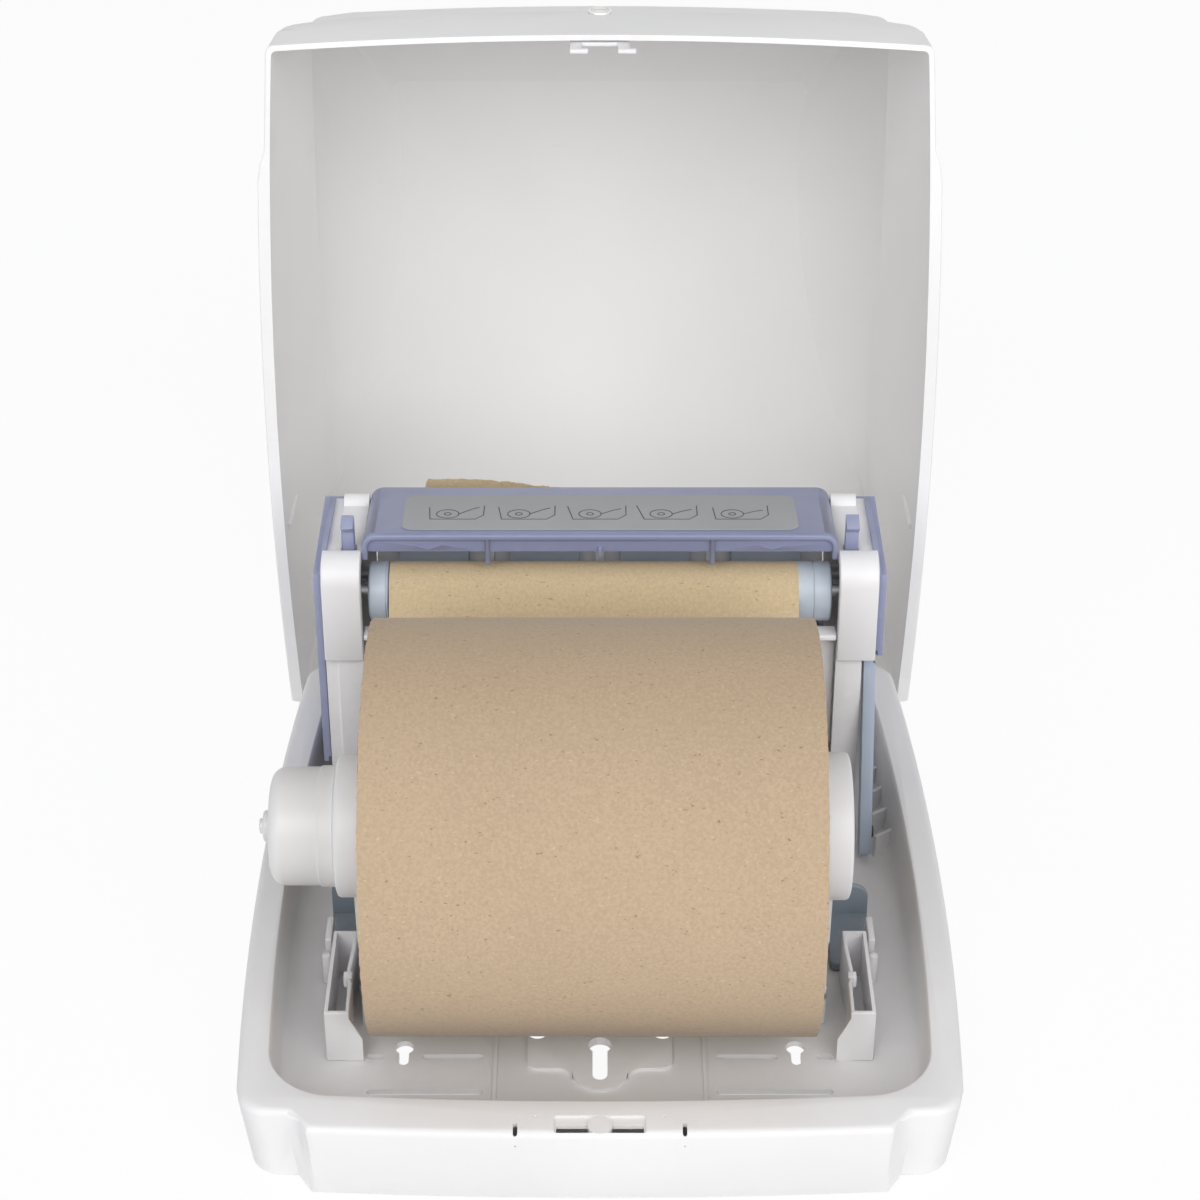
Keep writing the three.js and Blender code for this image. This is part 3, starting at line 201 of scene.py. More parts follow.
def slab(name, outline, x0, x1):
    """An outline in Y and Z, drawn out along X"""
    return loft(name, [[(x, y, z) for y, z in outline] for x in (x0, x1)])


def plate(name, outline, z0, z1):
    """An outline in X and Y, drawn out along Z"""
    return loft(name, [[(x, y, z) for x, y in outline] for z in (z0, z1)])


def wall(name, outline, y0, y1):
    """An outline in X and Z, drawn out along Y"""
    return loft(name, [[(x, y, z) for x, z in outline] for y in (y0, y1)])


def block(name, x0, x1, y0, y1, z0, z1):
    return plate(name, [(x0, y0), (x1, y0), (x1, y1), (x0, y1)], z0, z1)


def rounded(half_x, half_y, radius, steps=6, x=0, y=0):
    """A rounded oblong outline"""
    points = []
    for sx, sy, start in ((1, -1, -90), (1, 1, 0), (-1, 1, 90), (-1, -1, 180)):
        centre = x + sx * (half_x - radius), y + sy * (half_y - radius)
        points += arc(*centre, radius, start, start + 90, steps)
    return points


def around(radius, steps):
    """Offsets of points spread evenly round a circle"""
    angles = [2 * math.pi * i / steps for i in range(steps)]
    return [(radius * math.cos(angle), radius * math.sin(angle)) for angle in angles]


def level_ring(x, y, radius, z, steps):
    return [(x + a, y + b, z) for a, b in around(radius, steps)]


def closed_grid(rows, columns):
    """Faces of a skin that closes on itself both ways"""
    faces = []
    for r in range(rows):
        for i in range(columns):
            j, k = (i + 1) % columns, (r + 1) % rows
            faces.append((r * columns + i, r * columns + j, k * columns + j, k * columns + i))
    return faces


def turned(name, profile, y, z, steps=96):
    """A closed profile of (radius, x) pairs, turned about an axis along X; radius 0 is a pole"""
    pole = 0.0001
    rings = [[(x, y + a, z + b) for a, b in around(max(radius, pole), steps)] for radius, x in profile]
    piece = loft(name, rings)
    return face_outwards(edit(piece, lambda work: bmesh.ops.remove_doubles(
        work, verts=work.verts, dist=0.001 * MM)))


def turned_ring(name, profile, y, z, steps=96):
    """A closed loop of (radius, x) pairs, turned about an axis along X"""
    points = [(x, y + a, z + b) for radius, x in profile for a, b in around(radius, steps)]
    return face_outwards(new_piece(name, points, closed_grid(len(profile), steps)))


def tube(name, outer, inner, x0, x1, y, z, round_edge=0.6, steps=96):
    """A turned ring with rounded edges"""
    r = round_edge
    profile = [(inner, x0), (outer - r, x0), (outer - r * 0.3, x0 + r * 0.3), (outer, x0 + r),
               (outer, x1 - r), (outer - r * 0.3, x1 - r * 0.3), (outer - r, x1), (inner, x1)]
    return turned_ring(name, profile, y, z, steps)


def rod(name, radius, x0, x1, y, z, steps=48):
    return turned(name, [(0, x0), (radius - 0.3, x0), (radius, x0 + 0.3), (radius, x1 - 0.3),
                         (radius - 0.3, x1), (0, x1)], y, z, steps)


def rod_y(name, radius, y0, y1, x, z, steps=40):
    outline = arc(x, z, radius, 0, 360 * (1 - 1 / steps), steps - 1)
    return wall(name, outline, y0, y1)


def copy_of(node):
    """A merged copy of a solid, to be finished further"""
    source = frame["nodes"][node]
    piece = bpy.data.objects.new(f"{node}_finished", source.data.copy())
    piece.data.materials.clear()
    bpy.context.scene.collection.objects.link(piece)
    return tidy_flats(piece)


def dress(piece, material, body, *nodes, degrees=35):
    """Gives a finished piece its material, its body and the solids that it stands for"""
    piece.data.materials.clear()
    piece.data.materials.append(material)
    shade(piece, degrees)
    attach(piece, body)
    if nodes:
        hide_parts(*nodes)
    return piece


def finished(node, material, body, width, segments=3, degrees=40):
    """A copy of a solid with its edges rounded"""
    return dress(soften(copy_of(node), width, segments, degrees), material, body, node)


def finish(piece, width, degrees, flat=0.2):
    """Cleans a piece that was put together, and rounds its edges"""
    return soften(tidy_flats(piece, flat), width, 3, degrees)


def steel_rod(node, body, steps=40, radius=None, centre=None):
    """A pin or an axle, as long as its solid"""
    place = Limits(node)
    radius = radius or place.radius
    y, z = centre or (place.y, place.z)
    if place.x1 - place.x0 > place.y1 - place.y0:
        piece = rod(f"{node}_body", radius, place.x0, place.x1, y, z, steps)
    else:
        piece = rod_y(f"{node}_body", radius, place.y0, place.y1, place.x, z, steps)
    return dress(piece, STEEL, body, node)


# Shader groups
def node_group(name, numbers, *masks):
    """An empty shader group that takes a place and some numbers and gives masks"""
    group = bpy.data.node_groups.new(name, "ShaderNodeTree")
    inputs = [("Place", "NodeSocketVector", (0, 0, 0))]
    inputs += [(label, "NodeSocketFloat", value) for label, value in numbers.items()]
    for label, kind, value in inputs:
        group.interface.new_socket(label, in_out="INPUT", socket_type=kind).default_value = value
    for label in masks:
        group.interface.new_socket(label, in_out="OUTPUT", socket_type="NodeSocketFloat")
    return group, group.nodes.new("NodeGroupInput").outputs, group.nodes.new("NodeGroupOutput").inputs


def give(tree, value, socket):
    """Links a node's output to a socket, or sets the socket to a plain value"""
    if hasattr(value, "links"):
        tree.links.new(value, socket)
    else:
        socket.default_value = value


def make_node(tree, kind, settings=None, values=None):
    node = tree.nodes.new(kind)
    for key, value in (settings or {}).items():
        setattr(node, key, value)
    for key, value in (values or {}).items():
        node.inputs[key].default_value = value
    return node


def math_node(tree, operation, first, second, clamp=False):
    node = make_node(tree, "ShaderNodeMath", {"operation": operation, "use_clamp": clamp})
    give(tree, first, node.inputs[0])
    give(tree, second, node.inputs[1])
    return node.outputs[0]


def product(tree, first, *others):
    for other in others:
        first = math_node(tree, "MULTIPLY", first, other)
    return first


def mapped(tree, place, **values):
    """The place, moved, turned or scaled"""
    node = make_node(tree, "ShaderNodeMapping", {}, values)
    tree.links.new(place, node.inputs["Vector"])
    return node.outputs["Vector"]


def mix_colours(tree, factor, first, second):
    node = make_node(tree, "ShaderNodeMix", {"data_type": "RGBA", "blend_type": "MIX"})
    for index, value in ((0, factor), (6, first), (7, second)):
        give(tree, value, node.inputs[index])
    return node.outputs[2]


def noise_at(tree, place, scale, detail=3.0, roughness=0.5):
    node = make_node(tree, "ShaderNodeTexNoise", {}, {"Detail": detail, "Roughness": roughness})
    give(tree, place, node.inputs["Vector"])
    give(tree, scale, node.inputs["Scale"])
    return node.outputs["Fac"]


def band(tree, value, low, high, bottom=0.0, top=1.0):
    node = make_node(tree, "ShaderNodeMapRange", {"interpolation_type": "SMOOTHSTEP"},
                     {"From Min": low, "From Max": high, "To Min": bottom, "To Max": top})
    tree.links.new(value, node.inputs["Value"])
    return node.outputs["Result"]


def moulded_grain_group():
    """Fine moulding grain and slow flow marks: a height and a shade mask"""
    sizes = {"Grain Size": 900.0, "Flow Size": 9.0}
    tree, given, wanted = node_group("moulded_grain", sizes, "Height", "Flow")
    give(tree, noise_at(tree, given["Place"], given["Grain Size"], 2.0, 0.6), wanted["Height"])
    flow = noise_at(tree, given["Place"], given["Flow Size"], 3.0, 0.45)
    give(tree, band(tree, flow, 0.3, 0.7), wanted["Flow"])
    return tree


def scuff_group():
    """Thin handling scratches and dull patches, as a mask"""
    tree, given, wanted = node_group("handling_scuffs", {"Amount": 0.5}, "Scratches", "Patches")
    stretched = mapped(tree, given["Place"], Rotation=(0.3, 0.2, 0.7), Scale=(1.0, 14.0, 5.0))
    thin = band(tree, noise_at(tree, stretched, 38.0, 4.0, 0.6), 0.66, 0.72)
    patches = noise_at(tree, given["Place"], 24.0, 4.0, 0.6)
    give(tree, product(tree, thin, band(tree, patches, 0.5, 0.62), given["Amount"]), wanted["Scratches"])
    give(tree, band(tree, patches, 0.4, 0.75), wanted["Patches"])
    return tree


def dust_group():
    """Dust that settles on faces that look up: a mask"""
    tree, given, wanted = node_group("settled_dust", {"Amount": 0.3}, "Dust")
    split = make_node(tree, "ShaderNodeSeparateXYZ")
    tree.links.new(make_node(tree, "ShaderNodeNewGeometry").outputs["Normal"], split.inputs["Vector"])
    up = band(tree, split.outputs["Z"], 0.2, 0.95)
    mottle = band(tree, noise_at(tree, given["Place"], 45.0, 6.0, 0.7), 0.35, 0.75)
    give(tree, product(tree, up, mottle, given["Amount"]), wanted["Dust"])
    return tree


def edge_highlight_and_wear_group():
    """Painted highlight on edges where the surface turns sharply, with pale rubbing: a mask"""
    tree, given, wanted = node_group("edge_highlight_and_wear", {"Amount": 0.4}, "Edge")
    sharp = band(tree, make_node(tree, "ShaderNodeNewGeometry").outputs["Pointiness"], 0.51, 0.6)
    broken = band(tree, noise_at(tree, given["Place"], 160.0), 0.35, 0.65)
    give(tree, product(tree, sharp, broken, given["Amount"]), wanted["Edge"])
    return tree


def paper_fibre_group():
    """Kraft paper: fibre mottle, dark and pale flecks, and a crepe relief"""
    tree, given, wanted = node_group("paper_fibre", {"Crepe": 1.0}, "Mottle", "Dark Flecks", "Pale Flecks",
                                     "Height")
    place = given["Place"]
    mottle = noise_at(tree, place, 620.0, 5.0, 0.65)
    cloud = noise_at(tree, place, 18.0)
    give(tree, math_node(tree, "ADD", product(tree, mottle, 0.86), product(tree, cloud, 0.14)),
         wanted["Mottle"])
    for label, offset, size, low, high in (("Dark Flecks", 3.1, 620.0, 0.68, 0.74),
                                           ("Pale Flecks", 7.7, 700.0, 0.66, 0.74)):
        shifted = mapped(tree, place, Location=(offset, offset, offset), Scale=(0.55, 1.0, 1.0))
        give(tree, band(tree, noise_at(tree, shifted, size, 2.0), low, high), wanted[label])
    ridges = noise_at(tree, mapped(tree, place, Scale=(0.35, 1.0, 1.0)), 1300.0, 3.0, 0.6)
    give(tree, math_node(tree, "ADD", product(tree, ridges, given["Crepe"]), product(tree, mottle, 0.6)),
         wanted["Height"])
    return tree


GRAIN = moulded_grain_group()
SCUFFS = scuff_group()
DUST = dust_group()
EDGE_HIGHLIGHT_AND_WEAR = edge_highlight_and_wear_group()
FIBRE = paper_fibre_group()


# Materials
def linear(red, green, blue):
    """A colour given as it looks on a screen, from 0 to 255"""
    def one(value):
        value /= 255
        return value / 12.92 if value <= 0.04045 else ((value + 0.055) / 1.055) ** 2.4
    return (one(red), one(green), one(blue), 1.0)


def blank_material(name):
    """A new material, its tree, its surface's sockets and the place on the piece"""
    material = bpy.data.materials.new(name)
    material.use_nodes = True
    tree = material.node_tree
    tree.nodes.clear()
    surface = tree.nodes.new("ShaderNodeBsdfPrincipled")
    output = tree.nodes.new("ShaderNodeOutputMaterial")
    tree.links.new(surface.outputs["BSDF"], output.inputs["Surface"])
    place = tree.nodes.new("ShaderNodeTexCoord").outputs["Object"]
    return material, tree, surface.inputs, place


def use_group(tree, group, place, **values):
    node = tree.nodes.new("ShaderNodeGroup")
    node.node_tree = group
    tree.links.new(place, node.inputs["Place"])
    for key, value in values.items():
        node.inputs[key.replace("_", " ")].default_value = value
    return node.outputs


def shaded(colour, share):
    return tuple(channel * share for channel in colour[:3]) + (1.0,)


def bump(tree, surface, height, distance):
    node = make_node(tree, "ShaderNodeBump", {}, {"Distance": distance * MM, "Strength": 1.0})
    tree.links.new(height, node.inputs["Height"])
    tree.links.new(node.outputs["Normal"], surface["Normal"])


def moulded_plastic(name, colour, roughness, dust=0.1, highlight_and_wear=0.25, scuffs=0.3, flow=9.0):
    """Moulded plastic with flow marks, handling scuffs, pale rubbed edges that also carry a painted
    highlight, and a little dust
    """
    material, tree, surface, place = blank_material(name)
    skin = use_group(tree, GRAIN, place, Grain_Size=900.0, Flow_Size=flow)
    marks = use_group(tree, SCUFFS, place, Amount=scuffs)
    highlight_and_wear_colour = tuple(channel + (1 - channel) * 0.35 for channel in colour[:3]) + (1.0,)
    base = mix_colours(tree, skin["Flow"], shaded(colour, 0.965), colour)
    # Painted highlight: sharp edges are mixed towards a paler colour, which also stands for pale rubbing
    base = mix_colours(tree, use_group(tree, EDGE_HIGHLIGHT_AND_WEAR, place, Amount=highlight_and_wear)["Edge"], base, highlight_and_wear_colour)
    base = mix_colours(tree, marks["Scratches"], base, shaded(colour, 0.86))
    base = mix_colours(tree, use_group(tree, DUST, place, Amount=dust)["Dust"], base, DUST_COLOUR)
    give(tree, base, surface["Base Color"])
    rough = math_node(tree, "ADD", product(tree, marks["Patches"], 0.12), roughness)
    rough = math_node(tree, "ADD", rough, product(tree, marks["Scratches"], 0.25), True)
    give(tree, rough, surface["Roughness"])
    bump(tree, surface, skin["Height"], 0.02)
    return material


def kraft_paper(name, colour, dark, pale, crepe=1.0, relief=0.09):
    """Unbleached towel paper with fibres, flecks and a crepe relief"""
    material, tree, surface, place = blank_material(name)
    fibre = use_group(tree, FIBRE, place, Crepe=crepe)
    mottle = band(tree, fibre["Mottle"], 0.38, 0.62)
    base = mix_colours(tree, mottle, shaded(colour, 0.93), shaded(colour, 1.05))
    base = mix_colours(tree, product(tree, fibre["Dark Flecks"], 0.55), base, dark)
    base = mix_colours(tree, product(tree, fibre["Pale Flecks"], 0.45), base, pale)
    give(tree, base, surface["Base Color"])
    give(tree, math_node(tree, "ADD", product(tree, fibre["Mottle"], 0.1), 0.85), surface["Roughness"])
    give(tree, 0.15, surface["Sheen Weight"])
    give(tree, 0.2, surface["Specular IOR Level"])
    bump(tree, surface, fibre["Height"], relief)
    return material


def wound_edge(name, colour, turns_per_metre):
    """The end of a paper roll or a board core: fine rings about the roll's axis"""
    material, tree, surface, place = blank_material(name)
    centre_y, centre_z = pivot_place("roll_spin")[1:]
    split = make_node(tree, "ShaderNodeSeparateXYZ")
    centred = mapped(tree, place, Location=(0, -centre_y * MM, -centre_z * MM))
    tree.links.new(centred, split.inputs["Vector"])
    flat = make_node(tree, "ShaderNodeCombineXYZ")
    tree.links.new(split.outputs["Y"], flat.inputs["X"])
    tree.links.new(split.outputs["Z"], flat.inputs["Y"])
    reach = make_node(tree, "ShaderNodeVectorMath", {"operation": "LENGTH"})
    tree.links.new(flat.outputs["Vector"], reach.inputs["Vector"])
    line = make_node(tree, "ShaderNodeTexNoise", {"noise_dimensions": "1D"},
                     {"Scale": turns_per_metre, "Detail": 3.0, "Roughness": 0.7})
    tree.links.new(reach.outputs["Value"], line.inputs["W"])
    spread = noise_at(tree, place, 40.0)
    turns = band(tree, line.outputs["Fac"], 0.35, 0.65)
    base = mix_colours(tree, turns, shaded(colour, 0.78), colour)
    base = mix_colours(tree, band(tree, spread, 0.4, 0.7, 0.0, 0.25), base, shaded(colour, 1.12))
    give(tree, base, surface["Base Color"])
    give(tree, band(tree, spread, 0.2, 0.8, 0.86, 0.97), surface["Roughness"])
    give(tree, 0.2, surface["Specular IOR Level"])
    bump(tree, surface, turns, 0.15)
    return material


def brushed_metal(name, colour, roughness):
    material, tree, surface, place = blank_material(name)
    lines = noise_at(tree, mapped(tree, place, Scale=(0.05, 1.0, 1.0)), 2200.0, 3.0, 0.6)
    marks = use_group(tree, SCUFFS, place, Amount=0.6)
    base = mix_colours(tree, band(tree, lines, 0.3, 0.7), shaded(colour, 0.85), colour)
    give(tree, mix_colours(tree, marks["Scratches"], base, shaded(colour, 0.6)), surface["Base Color"])
    give(tree, 1.0, surface["Metallic"])
    give(tree, band(tree, lines, 0.2, 0.8, roughness, roughness + 0.2), surface["Roughness"])
    bump(tree, surface, lines, 0.01)
    return material


def print_film(name, colour, roughness):
    """Printed film with a faint orange peel and rub marks"""
    material, tree, surface, place = blank_material(name)
    skin = use_group(tree, GRAIN, place, Grain_Size=420.0, Flow_Size=30.0)
    marks = use_group(tree, SCUFFS, place, Amount=0.25)
    base = mix_colours(tree, skin["Flow"], shaded(colour, 0.96), shaded(colour, 1.03))
    give(tree, mix_colours(tree, marks["Scratches"], base, shaded(colour, 1.25)), surface["Base Color"])
    give(tree, band(tree, skin["Flow"], 0.0, 1.0, roughness, roughness + 0.1), surface["Roughness"])
    bump(tree, surface, skin["Height"], 0.008)
    return material


DUST_COLOUR = linear(214, 212, 207)
COVER_WHITE = moulded_plastic("cover_white", linear(243, 242, 241), 0.42, dust=0.05,
                              scuffs=0.2, flow=5.0)
TRAY_WHITE = moulded_plastic("tray_white", linear(233, 232, 232), 0.4, dust=0.12,
                             scuffs=0.35)
PART_WHITE = moulded_plastic("part_white", linear(235, 234, 235), 0.38, dust=0.08,
                             scuffs=0.35, flow=22.0)
HUB_WHITE = moulded_plastic("hub_white", linear(226, 225, 224), 0.36, dust=0.05, flow=20.0)
PERIWINKLE = moulded_plastic("periwinkle", linear(155, 160, 191), 0.3,
                             highlight_and_wear=0.07, scuffs=0.4, flow=16.0)
# Painted shade: the periwinkle made darker for the lid, whose front lies in shade
SHADED_LID_BLUE = moulded_plastic("shaded_lid_blue", linear(141, 147, 178), 0.3, dust=0.06,
                           highlight_and_wear=0.07, scuffs=0.4, flow=16.0)
PALE_BLUE = moulded_plastic("pale_blue", linear(180, 190, 202), 0.34, dust=0.08,
                            highlight_and_wear=0.35, scuffs=0.35, flow=18.0)
LEVER_BLUE = moulded_plastic("lever_blue", linear(168, 180, 196), 0.34, dust=0.05,
                             highlight_and_wear=0.1, scuffs=0.35, flow=14.0)
SLATE = moulded_plastic("slate", linear(138, 149, 160), 0.42, dust=0.15, highlight_and_wear=0.35,
                        scuffs=0.4, flow=18.0)
KRAFT = kraft_paper("kraft_roll", linear(184, 162, 135), linear(112, 88, 62), linear(212, 190, 160))
KRAFT_WEB = kraft_paper("kraft_web", linear(204, 183, 148), linear(140, 114, 82), linear(222, 202, 168),
                        crepe=0.7, relief=0.05)
ROLL_END = wound_edge("kraft_roll_end", linear(178, 154, 122), 2600.0)
CORE_BOARD = wound_edge("core_board", linear(158, 132, 98), 3400.0)
LABEL_FILM = print_film("label_grey", linear(164, 166, 168), 0.45)
PAD_BLACK = moulded_plastic("pad_black", linear(38, 39, 42), 0.55, highlight_and_wear=0.1)
LABEL_INK = print_film("label_ink", linear(70, 72, 72), 0.5)
STEEL = brushed_metal("steel", linear(190, 192, 195), 0.3)
LOCK_METAL = brushed_metal("lock_metal", linear(232, 232, 231), 0.42)


# Moulded shells
def smooth_step(value, low, high):
    share = min(1.0, max(0.0, (value - low) / (high - low)))
    return share * share * (3 - 2 * share)


def spaced(count, extra=()):
    """Shares between 0 and 1, ends left out, with extra shares where a step falls"""
    return sorted([i / count for i in range(1, count)] + list(extra))


def oblong(half, near, far, near_corner, far_corner, end_shares, side_shares, corner_steps=8, fan=None):
    """A rounded oblong outline, always with the same number of points. A fan moves the near end's shares"""
    near_reach = half - near_corner
    far_reach = half - far_corner
    side = [near + near_corner + (far - far_corner - near - near_corner) * share for share in side_shares]
    near_shares = [fan(share) for share in end_shares] if fan else end_shares
    points = [(-near_reach + 2 * near_reach * share, near) for share in near_shares]
    points += arc(near_reach, near + near_corner, near_corner, -90, 0, corner_steps)
    points += [(half, y) for y in side]
    points += arc(far_reach, far - far_corner, far_corner, 0, 90, corner_steps)
    points += [(far_reach - 2 * far_reach * share, far) for share in end_shares]
    points += arc(-far_reach, far - far_corner, far_corner, 90, 180, corner_steps)
    points += [(-half, y) for y in reversed(side)]
    points += arc(-near_reach, near + near_corner, near_corner, 180, 270, corner_steps)
    return points


def bowed(points, half, near, far, taper, widest, bow):
    """Narrows an outline away from its widest place and bows its near end"""
    length = far - near
    shaped = []
    for x, y in points:
        along = (y - widest) / (length / 2)
        nearness = max(0.0, 1 - (y - near) / (length / 4))
        shaped.append((x * (1 - taper * along * along), y - bow * (1 - (x / half) ** 2) * nearness ** 2))
    return shaped


# Cover, described shut and then turned open about its hinge
COVER_NEAR = -179.8
COVER_FAR = 196
COVER_HALF = 172
COVER_RIM = 42.4
COVER_DEPTH = 176
COVER_CROWN = 4
COVER_WALL = 2.8
COVER_TAPER = 0.038
COVER_WIDEST = 28
COVER_BOW = 5.6
COVER_CORNER = 4
PANEL_NEAR = -104
PANEL_FAR = 172
PANEL_CORNER = 9
PANEL_WAIST = 111
PANEL_WAIST_Y = -67
PANEL_SPREAD = 0.00098
PANEL_NEAR_SPREAD = 0.0054
FILLET_TURN = 78
CREASE_SHARE = 0.88
CREASE_REACH = 0.984
SKIRT_START = -128
SKIRT_FULL = -112
SKIRT_DEPTH = 30
SKIRT_PROUD = 3.4
HINGE = pivot_place("cover_hinge")
HINGE_BORE = 2.9
OPEN_ANGLE = math.radians(pivot("cover_hinge")["range_deg"][1])

CREASE_AT = (0.5 - CREASE_SHARE / 2, 0.5 + CREASE_SHARE / 2)
COVER_ENDS = spaced(30, (*CREASE_AT, CREASE_AT[0] - 0.004, CREASE_AT[1] + 0.004))
COVER_SIDES = spaced(44)


def cover_rim_outline(inset):
    half = COVER_HALF - inset
    near = COVER_NEAR + inset
    far = COVER_FAR - inset
    corner = COVER_CORNER - inset / 2
    points = oblong(half, near, far, corner, corner, COVER_ENDS, COVER_SIDES)
    return bowed(points, half, near, far, COVER_TAPER, COVER_WIDEST, COVER_BOW)


def fanned(share):
    """Draws the near end's outer points together at the panel's corner, so the side crease fans out"""
    reach = abs(2 * share - 1)
    if reach <= CREASE_SHARE:
        reach *= CREASE_REACH / CREASE_SHARE
    else:
        reach = CREASE_REACH + (reach - CREASE_SHARE) * (1 - CREASE_REACH) / (1 - CREASE_SHARE)
    return 0.5 + math.copysign(reach / 2, share - 0.5)


def panel_outline():
    """Where the rounded sides meet the front panel, seen from the front"""
    points = oblong(PANEL_WAIST, PANEL_NEAR, PANEL_FAR, PANEL_CORNER, PANEL_CORNER, COVER_ENDS, COVER_SIDES,
                    fan=fanned)
    shaped = []
    for x, y in points:
        away = y - PANEL_WAIST_Y
        spread = PANEL_SPREAD if away > 0 else PANEL_NEAR_SPREAD
        shaped.append((x * (1 + spread * away * away / PANEL_WAIST), y))
    return shaped


def fillet(inset):
    """How far a wall leans in, and the radius of the round that takes it on to the panel"""
    lean = 6 + 0.17 * inset
    return lean, (inset - lean) / (1 - math.cos(math.radians(FILLET_TURN)))


def cover_levels(rim, panel, wall):
    """For each ring, the points from the rim up over the fillet to the middle of the panel"""
    full = COVER_DEPTH - wall
    turn = math.radians(FILLET_TURN)
    rings = []
    wall_steps, fillet_steps = 6, 14
    for step in range(wall_steps + fillet_steps + 1):
        ring = []
        for (x0, y0), (x1, y1) in zip(rim, panel):
            inset = math.hypot(x1 - x0, y1 - y0)
            lean, radius = fillet(inset)
            start = full - radius * math.sin(turn)
            if step <= wall_steps:
                share = step / wall_steps
                across, depth = lean * share * share, start * share
            else:
                angle = turn * (step - wall_steps) / fillet_steps
                across = lean + radius * (1 - math.cos(angle))
                depth = start + radius * math.sin(angle)
            ring.append((x0 + (x1 - x0) * across / inset, y0 + (y1 - y0) * across / inset, COVER_RIM + depth))
        rings.append(ring)
    middle = (0, (PANEL_NEAR + PANEL_FAR) / 2)
    for share in (0.12, 0.28, 0.46, 0.64, 0.82):
        rise = COVER_CROWN * (1 - (1 - share) ** 2)
        rings.append([(x + (middle[0] - x) * share, y + (middle[1] - y) * share, COVER_RIM + full + rise)
                      for x, y in panel])
    return rings, (*middle, COVER_RIM + full + COVER_CROWN)


def with_skirt(ring, proud):
    moved = []
    for x, y, z in ring:
        on_side = abs(x) > COVER_HALF * 0.93 and y < COVER_FAR - COVER_CORNER / 2
        grown = proud * smooth_step(y, SKIRT_START, SKIRT_FULL) if on_side else 0
        moved.append((x + math.copysign(grown, x), y, z))
    return moved


def turn_open(piece):
    hinge = Vector(HINGE) * MM
    turn = Matrix.Translation(hinge) @ Matrix.Rotation(-OPEN_ANGLE, 4, "X") @ Matrix.Translation(-hinge)
    piece.data.transform(turn)
    return piece


def level_share(ring_low, ring_high, depth):
    """A ring between two others, at the given depth below the rim"""
    mixed = []
    for (xa, ya, za), (xb, yb, zb) in zip(ring_low, ring_high):
        share = (COVER_RIM + depth - za) / (zb - za)
        mixed.append((xa + (xb - xa) * share, ya + (yb - ya) * share, COVER_RIM + depth))
    return mixed


def cover_body():
    edge = 0.6
    outer, crown = cover_levels(cover_rim_outline(0), panel_outline(), 0)
    inner, hollow = cover_levels(cover_rim_outline(COVER_WALL), panel_outline(), COVER_WALL)
    rim = with_skirt([(x * (1 - edge / COVER_HALF), y, z) for x, y, z in outer[0]], SKIRT_PROUD)
    lip = with_skirt(level_share(outer[0], outer[1], edge), SKIRT_PROUD)
    skirt = [with_skirt(level_share(outer[0], outer[2], depth), SKIRT_PROUD)
             for depth in (SKIRT_DEPTH / 2, SKIRT_DEPTH - edge)]
    tuck = with_skirt(level_share(outer[0], outer[2], SKIRT_DEPTH), SKIRT_PROUD - edge)
    foot = level_share(outer[0], outer[2], SKIRT_DEPTH + 0.8)
    outside = [rim, lip, *skirt, tuck, foot, *outer[2:]]
    return loft("cover_body", [*reversed(outside), *inner], crown, hollow)


def cover_ears():
    """Hinge ears that reach down from the outlet end into the tray's lugs"""
    ears = []
    for side in ("left", "right"):
        pin = Limits(f"{side}_hinge_pin")
        outline = arc(HINGE[1], HINGE[2], 6.5, 180, 360, 12)
        outline += [(COVER_FAR - COVER_WALL * 0.75, COVER_RIM), (COVER_FAR - COVER_WALL * 0.75, 64),
                    (HINGE[1], 57.5), (HINGE[1] - 6.5, 42)]
        ear = slab(f"{side}_cover_ear", outline, pin.x - 3, pin.x + 3)
        ears.append(cut(ear, rod(f"{side}_ear_bore", HINGE_BORE, pin.x - 8, pin.x + 8, HINGE[1], HINGE[2])))
    return ears


def lock_end_lean(depth):
    """How far in the middle of the lock end lies at a depth below the rim"""
    lean, radius = fillet(PANEL_NEAR - COVER_NEAR + COVER_BOW)
    return lean * (depth / (COVER_DEPTH - radius * math.sin(math.radians(FILLET_TURN)))) ** 2


LOCK_Z = COVER_RIM + 52
LOCK_FACE = COVER_NEAR - COVER_BOW + lock_end_lean(46)


def make_cover():
    slot_z = COVER_RIM + 104
    slot = wall("outlet_slot", rounded(112, 10, 4, 5, 0, slot_z + 10), COVER_FAR - 24, COVER_FAR + 5)
    bore = rod_y("lock_bore", 6.3, LOCK_FACE - 5, LOCK_FACE + 15, 0, LOCK_Z)
    body = add(cut(cover_body(), slot, bore), *cover_ears())
    ribs = [block("catch_rib", x - 1.2, x + 1.2, 90.5, 93.5, COVER_RIM + 14, COVER_RIM + 14 + 34)
            for x in (167.5, -167.5)]
    body = turn_open(tidy_flats(add(body, *ribs), 0.2))
    dress(body, COVER_WHITE, "cover", "cover_shell", degrees=8)


def lock_barrel():
    face, z = LOCK_FACE - 0.8, LOCK_Z
    body = soften(rod_y("lock_face", 6, face, face + 15, 0, z, 64), 0.5, 3, 60)
    slot = plate("key_slot", rounded(3.5, 2, 0.6, 3, 0, face), z - 0.7, z + 0.7)
    ring = cut(rod_y("lock_ring", 4.6, face - 0.01, face + 0.5, 0, z, 48),
               rod_y("lock_ring_inner", 4.1, face - 1, face + 1, 0, z, 48))
    dress(turn_open(cut(body, slot, ring)), LOCK_METAL, "lock", "lock_barrel")


